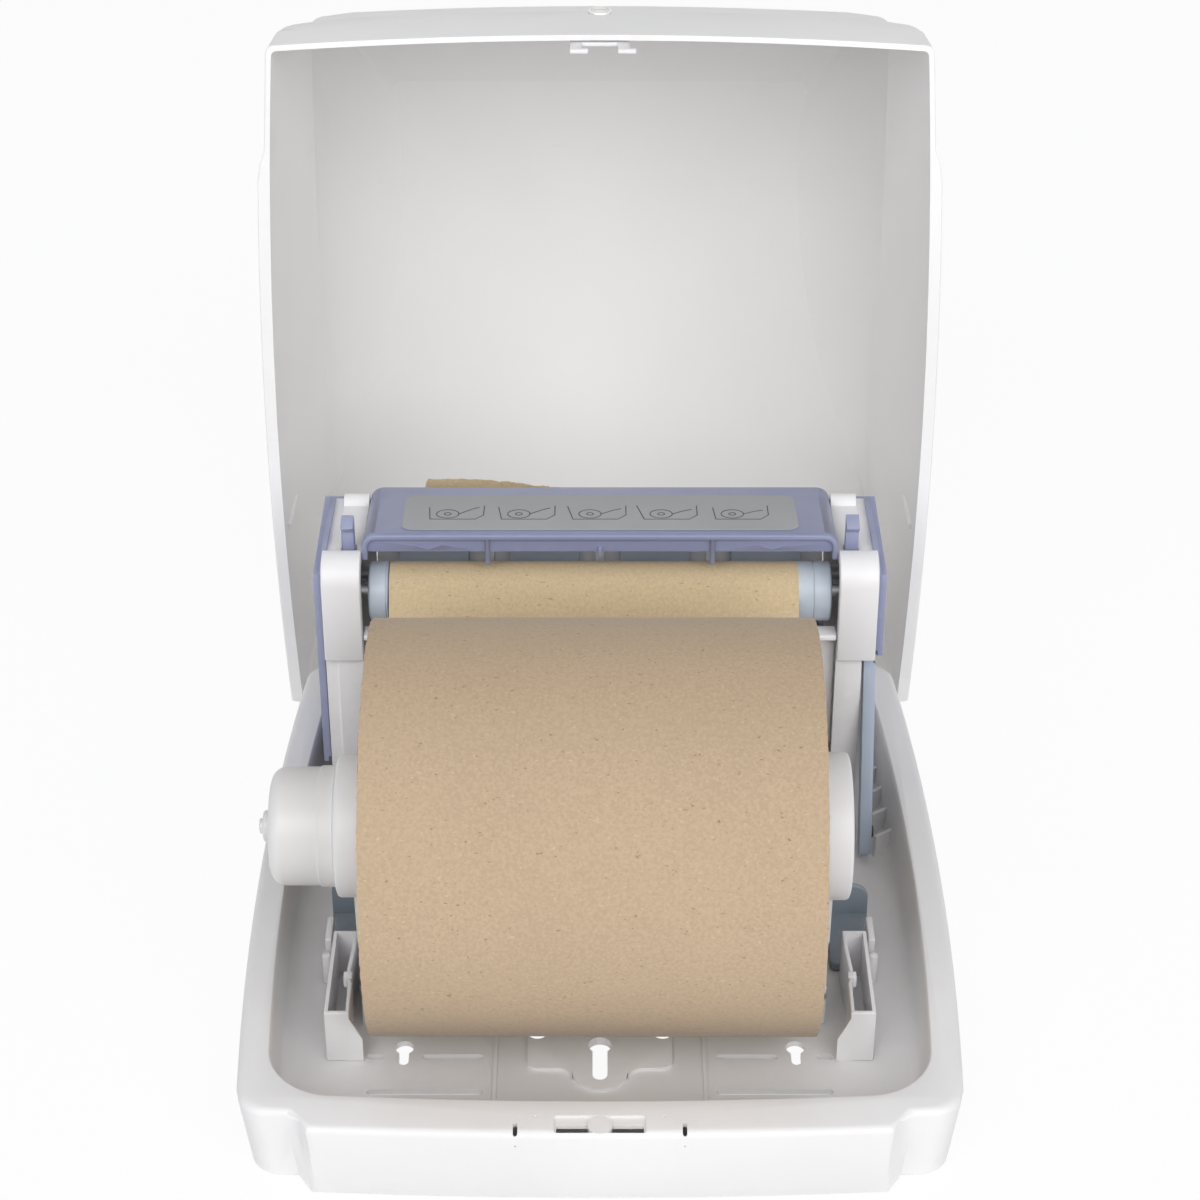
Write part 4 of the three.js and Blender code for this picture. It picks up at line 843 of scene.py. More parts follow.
# Rear tray
TRAY_NEAR = -179.8
TRAY_FAR = 183
TRAY_HALF = 166.6
TRAY_RIM = 42
TRAY_FLOOR = 3
TRAY_WALL = 2.8
TRAY_DRAFT = 4
TRAY_TAPER = 0.05
TRAY_WIDEST = -11
TRAY_BOW = 5.6
TRAY_CORNER = 12
BASIN_CORNER = 27
SIDE_LEDGE = 13
NEAR_LEDGE = 21
FAR_LEDGE = 12
CORNER_RECESS = 10
FLOOR_ROUND = 6.5
RIM_ROUND = 3.4
THROUGH_FLOOR = (-5, TRAY_FLOOR + 6)
KEYHOLE_Y = -85
PAD_DROP = 16
TRAY_ENDS = spaced(30, (0.055, 0.065, 0.075, 0.925, 0.935, 0.945))
TRAY_SIDES = spaced(24)


def tray_ring(z, side, near, far, corner, recess=0.0):
    half = TRAY_HALF - side
    y0 = TRAY_NEAR + near
    y1 = TRAY_FAR - far
    points = oblong(half, y0, y1, corner, min(corner, TRAY_CORNER), TRAY_ENDS, TRAY_SIDES)
    points = bowed(points, half, y0, y1, TRAY_TAPER, TRAY_WIDEST, TRAY_BOW)
    ring = []
    for x, y in points:
        set_back = recess * smooth_step(abs(x), 127.5, 133.5) if y < TRAY_NEAR + near + corner + 1 else 0
        ring.append((x, y + set_back, z))
    return ring


def even_ring(z, inset):
    return tray_ring(z, inset, inset, inset, TRAY_CORNER, CORNER_RECESS)


def tray_body():
    rings = []
    base = SIDE_LEDGE + 2.5 + FLOOR_ROUND
    sweep = [math.radians(15 * i) for i in range(7)]
    for angle in sweep:
        inward = FLOOR_ROUND * math.sin(angle)
        rings.append(tray_ring(TRAY_FLOOR + FLOOR_ROUND * (1 - math.cos(angle)), base - inward,
                               base + 8 - inward, FAR_LEDGE + 4 - 3 * math.sin(angle), BASIN_CORNER))
    for drop, slope in ((TRAY_RIM - 24, 1.9), (3, 1.4), (1.2, 0.9), (0.3, 0.3), (0, -0.6)):
        rings.append(tray_ring(TRAY_RIM - drop, SIDE_LEDGE + slope, NEAR_LEDGE + slope, FAR_LEDGE + slope / 2,
                               BASIN_CORNER))
    rings.append(tray_ring(TRAY_RIM, 6, 7, 6, 20, CORNER_RECESS * 0.7))
    rings += [even_ring(TRAY_RIM - RIM_ROUND * (1 - math.cos(angle)), RIM_ROUND * (1 - math.sin(angle)))
              for angle in sweep]
    for share in (0.4, 0.75, 0.98):
        rings.append(even_ring((TRAY_RIM - RIM_ROUND) * (1 - share), TRAY_DRAFT * share))
    under = TRAY_RIM - TRAY_WALL
    rings += [even_ring(0, TRAY_DRAFT + 0.5), even_ring(0, TRAY_DRAFT + TRAY_WALL),
              even_ring(under, TRAY_WALL + 0.2)]
    for z, side, near, far in ((under, SIDE_LEDGE, NEAR_LEDGE, FAR_LEDGE),
                               (TRAY_FLOOR + 4, SIDE_LEDGE + 2.5, NEAR_LEDGE + 2.5, FAR_LEDGE + 1),
                               (0, base, base + 8, FAR_LEDGE + 4)):
        rings.append(tray_ring(z, side - TRAY_WALL, near - TRAY_WALL, far - TRAY_WALL, BASIN_CORNER))
    return loft("tray_body", rings, (0, 0, TRAY_FLOOR), (0, 0, 0))


def keyhole(x, head, slot_width, length):
    half = slot_width / 2
    end = KEYHOLE_Y - length + half
    outline = [(x + half, KEYHOLE_Y), (x - half, KEYHOLE_Y), *arc(x, end, half, 180, 360, 12)]
    turn = 360 * (1 - 1 / 40)
    return [plate("keyhole_slot", outline, *THROUGH_FLOOR),
            plate("keyhole_head", arc(x, KEYHOLE_Y, head / 2, 0, turn, 39), *THROUGH_FLOOR)]


def floor_slot(x, y, length):
    return plate("floor_slot", rounded(length / 2, 1.7, 1.69, 8, x, y), -5, TRAY_FLOOR + 5)


def keyhole_pad(height):
    """Raised panel round the middle keyhole, drawn in to a round lobe below it"""
    half, lobe, flare = 34, 13, 7
    lobe_y = KEYHOLE_Y - 24 + lobe / 2
    foot = KEYHOLE_Y - PAD_DROP
    outline = [(half, KEYHOLE_Y + 17), (-half, KEYHOLE_Y + 17)]
    outline += arc(-half + 5, foot + 5, 5, 180, 270, 5)
    outline += arc(-lobe - flare, foot - flare, flare, 90, 0, 6)
    outline += arc(0, lobe_y, lobe, 180, 360, 20)
    outline += arc(lobe + flare, foot - flare, flare, 180, 90, 6)
    outline += arc(half - 5, foot + 5, 5, 270, 360, 5)
    return plate("keyhole_pad", outline, TRAY_FLOOR - 1, TRAY_FLOOR + height)


def hinge_lugs():
    lugs, cuts = [], []
    for name in ("left", "right"):
        pin = Limits(f"{name}_hinge_pin")
        outline = [(TRAY_FAR - 15, TRAY_FLOOR), (TRAY_FAR, TRAY_FLOOR)]
        outline += arc(HINGE[1], HINGE[2], TRAY_FAR - HINGE[1], 0, 90, 8)
        outline += [(TRAY_FAR - 15, 27)]
        lugs += [slab("hinge_lug", outline, start, start + 6) for start in (pin.x - 9.3, pin.x + 3.3)]
        cuts += [block("ear_slot", pin.x - 3.3, pin.x + 3.3, TRAY_FAR - 15, TRAY_FAR + 5, 12, TRAY_RIM + 5),
                 rod("pin_bore", HINGE_BORE, pin.x - 14, pin.x + 14, HINGE[1], HINGE[2])]
    return lugs, cuts


def slanted_ribs():
    ribs = []
    for i in range(4):
        rib = block("slanted_rib", -7.5, 7.5, -0.9, 0.9, 0, 13)
        rib.data.transform(Matrix.Translation(Vector((147, 66 + 19 * i, TRAY_FLOOR)) * MM)
                           @ Matrix.Rotation(math.radians(36), 4, "Z"))
        ribs.append(rib)
    return ribs


def rim_openings():
    """Catch windows with a pocket above them, and two narrow slots beside"""
    y, high = TRAY_NEAR - TRAY_BOW + 4.2, TRAY_RIM + 5
    cuts = [plate("catch_pocket", rounded(20.2, 5.2, 1, 4, 0, y + 2.6), TRAY_RIM - 1.2, high)]
    for side in (-1, 1):
        cuts.append(plate("catch_window", rounded(7.5, 2.3, 0.5, 3, side * 11.7, y), TRAY_RIM - 8, high))
        cuts.append(plate("rim_slot", rounded(1, 3.5, 0.9, 4, side * 37, y), TRAY_RIM - 8, high))
        cuts.append(plate("rim_dimple", arc(side * 28, y + 7, 0.9, 0, 345, 23), TRAY_RIM - 0.8, high))
    return cuts


def make_tray():
    lugs, cuts = hinge_lugs()
    near, far = KEYHOLE_Y - 92, Limits("left_side_frame").y1 - 24
    ridges = [plate("floor_ridge", rounded(0.9, (far - near) / 2, 0.85, 4, side * 49, (far + near) / 2 + 16),
                    TRAY_FLOOR - 1, TRAY_FLOOR + 0.9) for side in (-1, 1)]
    pad = soften(keyhole_pad(1.6), 0.9, 3, 50)
    boss = arc(0, TRAY_NEAR - TRAY_BOW + 6.2, 5.4, 0, 352, 45)
    boss = plate("catch_boss", boss, TRAY_RIM - 3, TRAY_RIM - 0.2)
    body = cut(tray_body(), *rim_openings())
    body = add(body, *lugs, *slanted_ribs(), *ridges, pad, boss)
    cuts += keyhole(0, 11, 7, 24)
    for side in (-1, 1):
        cuts += keyhole(side * 92, 9, 4.6, 12)
        cuts += [floor_slot(side * 105.8, -91.5, 8), floor_slot(side * 69, -91.5, 29),
                 floor_slot(side * 81, -115.6, 54)]
        cuts.append(plate("round_hole", arc(side * 29.6, KEYHOLE_Y + 9, 4.6, 0, 350, 35), *THROUGH_FLOOR))
    body = tidy_flats(cut(body, *cuts), 0.2)
    dress(body, TRAY_WHITE, "tray", "rear_tray", degrees=32)


# Paper roll and the paper's run
ROLL_Y, ROLL_Z = pivot_place("roll_spin")[1:]
FEED_Y, FEED_Z = pivot_place("feed_spin")[1:]
DRUM_Y, DRUM_Z = pivot_place("drum_spin")[1:]
ROLL = Limits("paper_roll")
ROLL_RADIUS = ROLL.radius
CORE_RADIUS = 22.5
CORE_WALL = 1.8
ARM_GAP = 1.4
ARM_THICKNESS = 14.5
HUB_GAP = 0.3
HUB_RADIUS = 27.3
ROLLER_BORE = 4.3
SIDES = ((-1, "left"), (1, "right"))
FEED_RADIUS = 14.4
DRUM_RADIUS = 33
WEB_GAP = 0.28
WEB_THICKNESS = 0.35


def paper_roll():
    """The roll: slightly uneven round its outside, with ends that are not quite flush"""
    steps, across = 220, 40
    bore, edge = CORE_RADIUS + 0.3, ROLL_RADIUS - 0.8
    ends = [bore + (edge - bore) * share for share in (0.0, 0.25, 0.5, 0.75)] + [edge]
    rows = [("left", radius) for radius in ends] + [("side", i / across) for i in range(across + 1)]
    rows += [("right", radius) for radius in reversed(ends)]
    points = []
    for kind, value in rows:
        for i in range(steps):
            angle = 2 * math.pi * i / steps
            turn = Vector((math.cos(angle), math.sin(angle), 0))
            if kind == "side":
                x = ROLL.x0 + 0.4 + (ROLL.x1 - ROLL.x0 - 0.8) * value
                radius = ROLL_RADIUS + noise.noise(turn * 2.2 + Vector((0, 0, x * 0.02))) * 0.35 - 0.25
                if value in (0.0, 1.0):
                    ragged = noise.noise(turn * 26 + Vector((value * 9, 3, 0))) * 0.45
                    x += ragged if value == 0.0 else -ragged
            else:
                radius = value
                push = 0.5 + 0.35 * noise.noise(turn * radius * 0.05 + Vector((5, 0, radius * 0.09)))
                x = ROLL.x0 + push if kind == "left" else ROLL.x1 - push
            points.append((x, ROLL_Y + radius * math.cos(angle), ROLL_Z + radius * math.sin(angle)))
    roll = face_outwards(new_piece("towel_roll", points, closed_grid(len(rows), steps)))
    dress(roll, KRAFT, "roll", "paper_roll", degrees=50)
    roll.data.materials.append(ROLL_END)
    for polygon in roll.data.polygons:
        if abs(polygon.normal.x) > 0.7:
            polygon.material_index = 1


def web_path(offset):
    """The paper's run from the roll over the feed roller, down the nip and round the drum"""
    over = FEED_RADIUS + WEB_GAP + offset
    drum = DRUM_RADIUS + WEB_GAP + WEB_THICKNESS - offset
    roll = ROLL_RADIUS + WEB_GAP + WEB_THICKNESS - offset
    across, up = FEED_Y - ROLL_Y, FEED_Z - ROLL_Z
    lean = math.atan2(up, across) + math.asin((roll + over) / math.hypot(across, up))
    across, up = DRUM_Y - FEED_Y, DRUM_Z - FEED_Z
    down = math.atan2(up, across) - math.asin(min(1.0, (over + drum) / math.hypot(across, up)))
    first_y = ROLL_Y + roll * math.cos(lean - math.pi / 2)
    first_z = ROLL_Z + roll * math.sin(lean - math.pi / 2)
    top = arc(FEED_Y, FEED_Z, over, math.degrees(lean) + 90, math.degrees(down) + 90, 36)
    top_y, top_z = top[0]
    join = [(first_y + (top_y - first_y) * i / 8, first_z + (top_z - first_z) * i / 8) for i in range(8)]
    return join + top + arc(DRUM_Y, DRUM_Z, drum, math.degrees(down) + 270, 360, 72)


def tail_height(x):
    """Where the torn end of the paper stands, rising at one side"""
    step = smooth_step(x, -94, -89.5) * (1 - smooth_step(x, -20, -4))
    ragged = noise.noise(Vector((x * 0.16, 2.0, 0))) * 1.6 + noise.noise(Vector((x * 0.9, 9.0, 0))) * 0.7
    slope = 5.4 * smooth_step(x, -66, -14)
    return min(158.8, 141 + 17.2 * step - slope * step + ragged * 0.7)


def paper_web():
    columns, tail_rows = 160, 8
    xs = [ROLL.x0 + (ROLL.x1 - ROLL.x0) * i / columns for i in range(columns + 1)]
    skins = []
    for offset, reach in ((WEB_THICKNESS, DRUM_RADIUS + WEB_GAP), (0, DRUM_RADIUS + WEB_GAP + WEB_THICKNESS)):
        rows = [[(x, y, z) for x in xs] for y, z in web_path(offset)]
        for r in range(1, tail_rows + 1):
            share = r / tail_rows
            waves = [0.5 * share * share * (1 + noise.noise(Vector((x * 0.03, 1, 0)))) for x in xs]
            rows.append([(x, DRUM_Y + reach + wave, DRUM_Z + (tail_height(x) - DRUM_Z) * share)
                         for x, wave in zip(xs, waves)])
        skins.append(rows)
    count, length = len(xs), len(skins[0])
    points = [point for rows in skins for row in rows for point in row]
    second = count * length
    faces = []
    for r in range(length - 1):
        for c in range(count - 1):
            a = r * count + c
            b = second + a
            faces.append((a, a + 1, a + count + 1, a + count))
            faces.append((b, b + count, b + count + 1, b + 1))
    edges = [(r * count + c, count) for r in range(length - 1) for c in (0, count - 1)]
    edges += [(r * count + c, 1) for c in range(count - 1) for r in (0, length - 1)]
    faces += [(a, a + step, second + a + step, second + a) for a, step in edges]
    web = face_outwards(new_piece("towel_web", points, faces))
    dress(web, KRAFT_WEB, "tray", "paper_web", degrees=60)


def roll_core():
    ends = ROLL.x0 - 0.3, ROLL.x1 + 0.3
    core = tube("board_core", CORE_RADIUS, CORE_RADIUS - CORE_WALL, *ends, ROLL_Y, ROLL_Z, 0.2)
    dress(core, CORE_BOARD, "roll", "roll_core")


# Roll arms and hubs
def roll_arm(side, name):
    place = Limits(f"{name}_roll_arm")
    radius, end = (32.8, ROLL.x0) if side < 0 else (34, ROLL.x1)
    inner = end + side * ARM_GAP
    outer = inner + side * ARM_THICKNESS
    face = 1.8
    profile = [(0, inner), (radius - 0.6, inner), (radius, inner + side * 0.6), (radius, outer - side * face),
               (radius - face * 0.3, outer - side * face * 0.3), (radius - face, outer), (0, outer)]
    head = turned(f"{name}_arm_head", profile, ROLL_Y, ROLL_Z, 128)
    foot_z, half, flare = 20, 13, 10
    outline = arc(ROLL_Y, foot_z, half, 180, 360, 20)
    outline += arc(ROLL_Y + half + flare, foot_z + 26, flare, 180, 120, 5)
    outline += [(ROLL_Y + 22, ROLL_Z - radius / 2), (ROLL_Y - 22, ROLL_Z - radius / 2)]
    outline += arc(ROLL_Y - half - flare, foot_z + 26, flare, 60, 0, 5)
    arm = add(head, slab(f"{name}_arm_leg", outline, *sorted((inner, inner + side * 7))))
    arm = cut(arm, rod(f"{name}_arm_bore", 12.3, place.x0 - 5, place.x1 + 5, ROLL_Y, ROLL_Z, 64),
              rod_y(f"{name}_pin_bore", 3.3, ROLL_Y - 44, ROLL_Y + 44, Limits(f"{name}_arm_pin").x, foot_z))
    finish(arm, 0.7, 40, 0.3)
    dress(arm, PART_WHITE, f"{name}_arm", f"{name}_roll_arm", degrees=30)


def left_hub():
    place = Limits("left_hub")
    bore_end = ROLL.x0 - ARM_GAP - ARM_THICKNESS - HUB_GAP
    end = bore_end - 30
    nub = end - 4
    profile = [(0, place.x0), *arc(3.6 - 1, place.x0 + 1, 1, -90, 0, 3), (3.6, nub), (6.6, nub),
               (7.2, nub + 0.6), (7.2, end - 0.2), (7.8, end),
               *arc(HUB_RADIUS - 6.5, end + 6.5, 6.5, -90, 0, 10),
               (HUB_RADIUS, bore_end - 7.6), (27.9, bore_end - 7.1), (27.9, bore_end - 0.6), (27.5, bore_end),
               (12, bore_end), (12, ROLL.x0 - HUB_GAP), (0, ROLL.x0 - HUB_GAP)]
    hub = turned("left_hub_body", profile, ROLL_Y, ROLL_Z, 128)
    peg = rod("hub_peg", 2.2, end - 1.6, end + 6, ROLL_Y - 9, ROLL_Z - 14.5)
    grip = block("hub_grip", nub - 1.9, nub + 2, ROLL_Y - 1.2, ROLL_Y + 1.2, ROLL_Z - 3.4, ROLL_Z + 3.4)
    dress(add(hub, peg, grip), HUB_WHITE, "left_hub_body", "left_hub", degrees=20)


def right_hub():
    far = Limits("right_hub").x1
    start = ROLL.x1 + HUB_GAP
    bore_end = ROLL.x1 + ARM_GAP + ARM_THICKNESS + HUB_GAP
    profile = [(0, start), (12, start), (12, bore_end), (15.6, bore_end), (16, bore_end + 0.4),
               (15.6, far - 0.2), (15.2, far), (0, far)]
    hub = turned("right_hub_body", profile, ROLL_Y, ROLL_Z, 96)
    dress(hub, HUB_WHITE, "right_hub_body", "right_hub", degrees=28)


def core_plug(side, name):
    end = ROLL.x0 if side < 0 else ROLL.x1
    inner = end - side * 9
    root = CORE_RADIUS - CORE_WALL - 0.3
    profile = [(0, end), (root, end), (root - 2.4, inner + side * 1.2), (root - 3, inner + side * 0.4),
               (root - 3.8, inner), (0, inner)]
    plug = turned(f"{name}_core_plug_body", profile, ROLL_Y, ROLL_Z)
    dress(plug, PART_WHITE, f"{name}_hub_body", f"{name}_core_plug")


# Brackets, base plates and saddles beside the arms
BRACKET_INNER = 116.2
BRACKET_OUTER = 128
BRACKET_NEAR = -94.5
BRACKET_FAR = -34


def arm_bracket(side, name):
    """Open box beside the roll arm. Its inner wall bends outward at the catch and flares at its near foot"""
    node = f"{name}_arm_bracket"
    place = Limits(node)
    outer, inner = side * BRACKET_OUTER, side * BRACKET_INNER
    rim, foot, top = 1.8, place.z0, place.z1
    near, far = BRACKET_NEAR, BRACKET_FAR
    length = far - near
    bends = [(inner + side * out, near + length * along)
             for along, out in ((1, 0), (0.78, 0.2), (0.54, 1.3), (0.42, 1.4), (0.36, 0.2), (0, 0))]
    shell = [(outer, near), (outer, far)] + bends
    body = soften(plate(f"{name}_bracket_body", shell, foot, top), 0.7, 3, 50)
    hollow = [(outer - side * rim, near + rim), (outer - side * rim, far - rim)]
    hollow += [(x + side * rim, min(max(y, near + rim), far - rim)) for x, y in bends]
    body = cut(body, plate(f"{name}_well", hollow, foot + rim, top + 5))
    catch_y = near + length * 0.45
    ends = sorted((inner + side * 0.6, inner + side * 4.6))
    catch = block(f"{name}_catch", *ends, catch_y - 1.8, catch_y + 2.6, top - 6, top + 0.2)
    soften(catch, 0.4, 2, 50)
    root, flared = inner + side * 2, inner - side * 5.5
    flare = wall(f"{name}_flare", [(root, top - 4), (inner, top - 4), (flared, foot + 13), (flared, foot),
                                   (root, foot)], near + 0.01, near + 2)
    ends = sorted((side * 129.8, side * 133.2))
    rail = soften(block(f"{name}_rail", *ends, far + 4, far + 22, foot, foot + 20), 0.8, 3, 50)
    boss = turned_post(f"{name}_boss", side * 132, far - 3, 2.2, foot, foot + 17)
    body = tidy_flats(add(body, catch, flare, rail, boss), 0.2)
    dress(body, PART_WHITE, "tray", node, degrees=32)


def turned_post(name, x, y, radius, z0, z1):
    """Upright round post with a rounded top"""
    rings = [level_ring(x, y, radius * share, z, 24)
             for share, z in ((1, z0), (1, z1 - 1.2), (0.87, z1 - 0.5), (0.55, z1 - 0.1))]
    return loft(name, rings, (x, y, z0), (x, y, z1))


def arm_base(side, name):
    node = f"{name}_arm_base"
    place = Limits(node)
    bottom, top = place.z0, place.z1
    outline = rounded((place.x1 - place.x0) / 2, (place.y1 - place.y0) / 2, 3.2, 6,
                      (place.x0 + place.x1) / 2, (place.y0 + place.y1) / 2)
    floor = soften(plate(f"{name}_base_floor", outline, bottom, bottom + 5), 1, 3, 60)
    outer, inner, radius = (place.x1, place.x0, 8) if side > 0 else (place.x0, place.x1, 3)
    small = 3
    outline = [(outer, bottom + 1)]
    outline += [(outer - side * radius + side * x, z) for x, z in arc(0, top - radius, radius, 0, 90, 9)]
    sweep = [math.radians(a) for a in range(0, 91, 10)]
    outline += [(inner + side * small - side * small * math.sin(a), top - small + small * math.cos(a))
                for a in sweep]
    outline.append((inner, bottom + 1))
    upright = soften(wall(f"{name}_base_wall", outline, place.y1 - 3, place.y1), 0.8, 3, 50)
    dress(tidy_flats(add(floor, upright), 0.2), SLATE, "tray", node, degrees=32)


def saddles_and_pins():
    for _, name in SIDES:
        finished(f"{name}_arm_saddle", PART_WHITE, "tray", 0.7)
        steel_rod(f"{name}_arm_pin", "tray")
        steel_rod(f"{name}_hinge_pin", "tray")


# Feed roller and drum
def feed_cap(name):
    """Cap of the feed roller: a smooth drum with a rounded outer edge and a shallow seam"""
    cap = Limits(f"{name}_feed_cap")
    outer, inner = (cap.x1, cap.x0) if abs(cap.x1) > abs(cap.x0) else (cap.x0, cap.x1)
    way = 1 if outer > inner else -1
    radius, bevel, seam = cap.radius, 1.6, outer - way * 9
    dip = radius - 0.45
    profile = [(ROLLER_BORE, inner), (radius - 0.5, inner), (radius, inner + way * 0.5),
               (radius, seam - way * 0.5), (dip, seam - way * 0.2), (dip, seam + way * 0.2),
               (radius, seam + way * 0.5)]
    profile += [(reach, outer - way * (bevel - deep))
                for reach, deep in arc(radius - bevel, 0, bevel, 0, 90, 3)]
    profile += [(radius * 0.62, outer), (radius * 0.6, outer - way * 0.8), (ROLLER_BORE, outer - way * 0.8)]
    piece = turned_ring(f"{name}_cap_body", profile, FEED_Y, FEED_Z)
    dress(piece, PALE_BLUE, "feed", f"{name}_feed_cap", degrees=28)


def feed_parts():
    for _, name in SIDES:
        feed_cap(name)
    roller = Limits("feed_roller")
    radius = roller.radius
    profile = [(ROLLER_BORE, roller.x0), (radius, roller.x0)]
    position = roller.x0 + 18
    while position < roller.x1 - 12:
        profile += [(radius, position), (radius - 0.5, position + 0.5), (radius - 0.5, position + 1.5),
                    (radius, position + 2)]
        position += 24
    profile += [(radius, roller.x1), (ROLLER_BORE, roller.x1)]
    piece = turned_ring("feed_roller_body", profile, FEED_Y, FEED_Z)
    dress(piece, SLATE, "feed", "feed_roller", degrees=30)
    steel_rod("feed_axle", "feed", 48, 4, (FEED_Y, FEED_Z))
    finished("feed_gear", PART_WHITE, "feed", 0.3, 2, 35)


def drum_parts():
    bevel, bore = 0.8, 27.3
    for i in range(1, 5):
        segment = Limits(f"drum_segment_{i}")
        profile = [(bore, segment.x0), (DRUM_RADIUS - bevel, segment.x0)]
        profile += arc(DRUM_RADIUS - bevel, segment.x0 + bevel, bevel, -90, 0, 3)[1:]
        profile += arc(DRUM_RADIUS - bevel, segment.x1 - bevel, bevel, 0, 90, 3) + [(bore, segment.x1)]
        piece = turned_ring(f"drum_grip_{i}", profile, DRUM_Y, DRUM_Z, 128)
        dress(piece, PALE_BLUE, "drum", f"drum_segment_{i}", degrees=25)
    tubes = [(f"drum_collar_{i}", f"drum_ring_{i}", 31, bore) for i in range(1, 4)]
    for name, node, outer, inner in [*tubes, ("drum_core_body", "drum_core", 27, 5.3)]:
        place = Limits(node)
        piece = tube(name, outer, inner, place.x0, place.x1, DRUM_Y, DRUM_Z, 0.8)
        dress(piece, PART_WHITE, "drum", node, degrees=28)
    steel_rod("drum_axle", "drum", 56, 5, (DRUM_Y, DRUM_Z))
    finished("drum_gear", PART_WHITE, "drum", 0.3, 2, 35)
    finished("drum_cam", SLATE, "drum", 0.4, 2)


# Side frames, straps, side covers, tabs, bushes, screws, cross panel and chute
TOWER_SHELF = 158.4
TOWER_OUTER = 138
TOWER_LIP = 135.5


def tower_lip(side):
    """White top of the side frame, carried out to the thin upper wall of the side cover"""
    outline = [(93, 160.6), (93, 163.8), (159.9, 158.9), (159.9, 156.2)]
    return slab("tower_lip", outline, *sorted((side * 130, side * TOWER_LIP)))


def side_cover(side, name):
    """Side cover with a thin upper wall that is set in, and a narrow shelf below it"""
    node = f"{name}_side_cover"
    place = Limits(node)
    crown = block("cover_crown", *sorted((side * 130, side * 145)), place.y0 - 5, place.y1 + 5, TOWER_SHELF,
                  place.z1 + 5)
    lower = cut(copy_of(node), crown)
    outline = ([(86.8, TOWER_SHELF - 2)] + arc(92.4, 154, 9.7, 140, 90, 6) + [(96.3, 163.7), (96.3, 166.2)]
               + [(157.4, 161.4), (159.6, 159.6), (160, TOWER_SHELF - 2)])
    upper = slab("upper_wall", outline, *sorted((side * TOWER_LIP, side * TOWER_OUTER)))
    ends = sorted((side * TOWER_LIP, side * 141.4))
    shelf = block("cover_shelf", *ends, 88.5, 160, TOWER_SHELF - 2, TOWER_SHELF)
    cover = finish(add(lower, upper, shelf), 0.6, 40)
    dress(cover, PERIWINKLE, "tray", node)


def frame_parts():
    for side, name in SIDES:
        frame = add(copy_of(f"{name}_side_frame"), tower_lip(side))
        if side < 0:
            frame = add(frame, block("frame_flange", -137.4, -130, 84.6, 88.4, 8, 112))
        dress(finish(frame, 0.7, 40), PART_WHITE, "tray", f"{name}_side_frame")
        finished(f"{name}_front_strap", PART_WHITE, "tray", 0.8)
        side_cover(side, name)
        finished(f"{name}_release_tab", PERIWINKLE, f"{name}_tab", 0.9)
        finished(f"{name}_drum_bush", SLATE, "tray", 0.3, 2)
        finished(f"{name}_feed_bush", SLATE, "tray", 0.3, 2)
        screw_head(f"{name}_frame_screw")
    finished("cross_panel", PART_WHITE, "tray", 0.7)
    finished("outlet_chute", PART_WHITE, "tray", 0.5, 2, 60)


def screw_head(node):
    """Domed screw head with a cross recess"""
    place = Limits(node)
    x, y, top, low = place.x, place.y, place.z1, place.z0
    radius = (place.x1 - place.x0) / 2
    rings = [level_ring(x, y, radius, low, 40)]
    for share, rise in arc(0, 0, 1, 0, 90, 6):
        rings.append(level_ring(x, y, radius * (0.55 + 0.45 * share), top - 1 + rise, 40))
    head = loft(f"{node}_head", rings, (x, y, low), (x, y, top))
    slots = [block("cross_slot", x - a, x + a, y - b, y + b, top - 0.9, top + 2)
             for a, b in ((1.8, 0.35), (0.35, 1.8))]
    dress(cut(head, *slots), STEEL, "tray", node, degrees=30)


# Lever
def lever():
    run, rise, length = -39, -116, math.hypot(39, 116)
    top = (100 + run * 0.2, 127 + rise * 0.2)
    across, up = 5 * run / length, 5 * rise / length
    heading = math.degrees(math.atan2(rise, run))
    outline = arc(61, 11, 4.6, heading - 90, heading + 90, 12)
    outline += [(top[0] - up, top[1] + across), (top[0] + up, top[1] - across)]
    flange = slab("lever_flange", outline, 136, 138.7)
    pad = rod("lever_pad", 3.2, 138.3, 139.8, 63.4, 18, 24)
    piece = finish(add(copy_of("transfer_lever"), flange), 0.8, 40)
    dress(pad, PAD_BLACK, "lever")
    dress(piece, LEVER_BLUE, "lever", "transfer_lever")
    steel_rod("lever_pin", "tray")


# Guide cover and its label
GUIDE_FAR_Z = 166
GUIDE_NEAR = (95.5, Limits("guide_cover").z1)
GUIDE_FAR = (159, GUIDE_FAR_Z)


def guide_frame():
    """Place of the lid's top: u runs across, v from the near edge to the far edge, w out of the lid"""
    along = Vector((0, GUIDE_FAR[0] - GUIDE_NEAR[0], GUIDE_FAR[1] - GUIDE_NEAR[1]))
    length = along.length
    along.normalize()
    up = Vector((1, 0, 0)).cross(along)
    turn = Matrix(((1, 0, 0), (0, along.y, along.z), (0, up.y, up.z))).transposed()
    place = Matrix.Translation(Vector((0, GUIDE_NEAR[0], GUIDE_NEAR[1])) * MM) @ turn.to_4x4()
    return place, length


def on_lid(piece):
    piece.data.transform(guide_frame()[0])
    return piece


LID_HALF = 117.5
LID_ROUND = 7
LID_BEAD_FOOT = 162.5


def lid_edge(inset):
    """The rounded end profile of the lid seen from the front, from foot to foot"""
    half, corner, top = LID_HALF - inset, LID_ROUND - inset, GUIDE_NEAR[1] + 0.6 - inset
    return ([(-half, LID_BEAD_FOOT)] + arc(-half + corner, top - corner, corner, 180, 90, 8)
            + arc(half - corner, top - corner, corner, 90, 0, 8) + [(half, LID_BEAD_FOOT)])


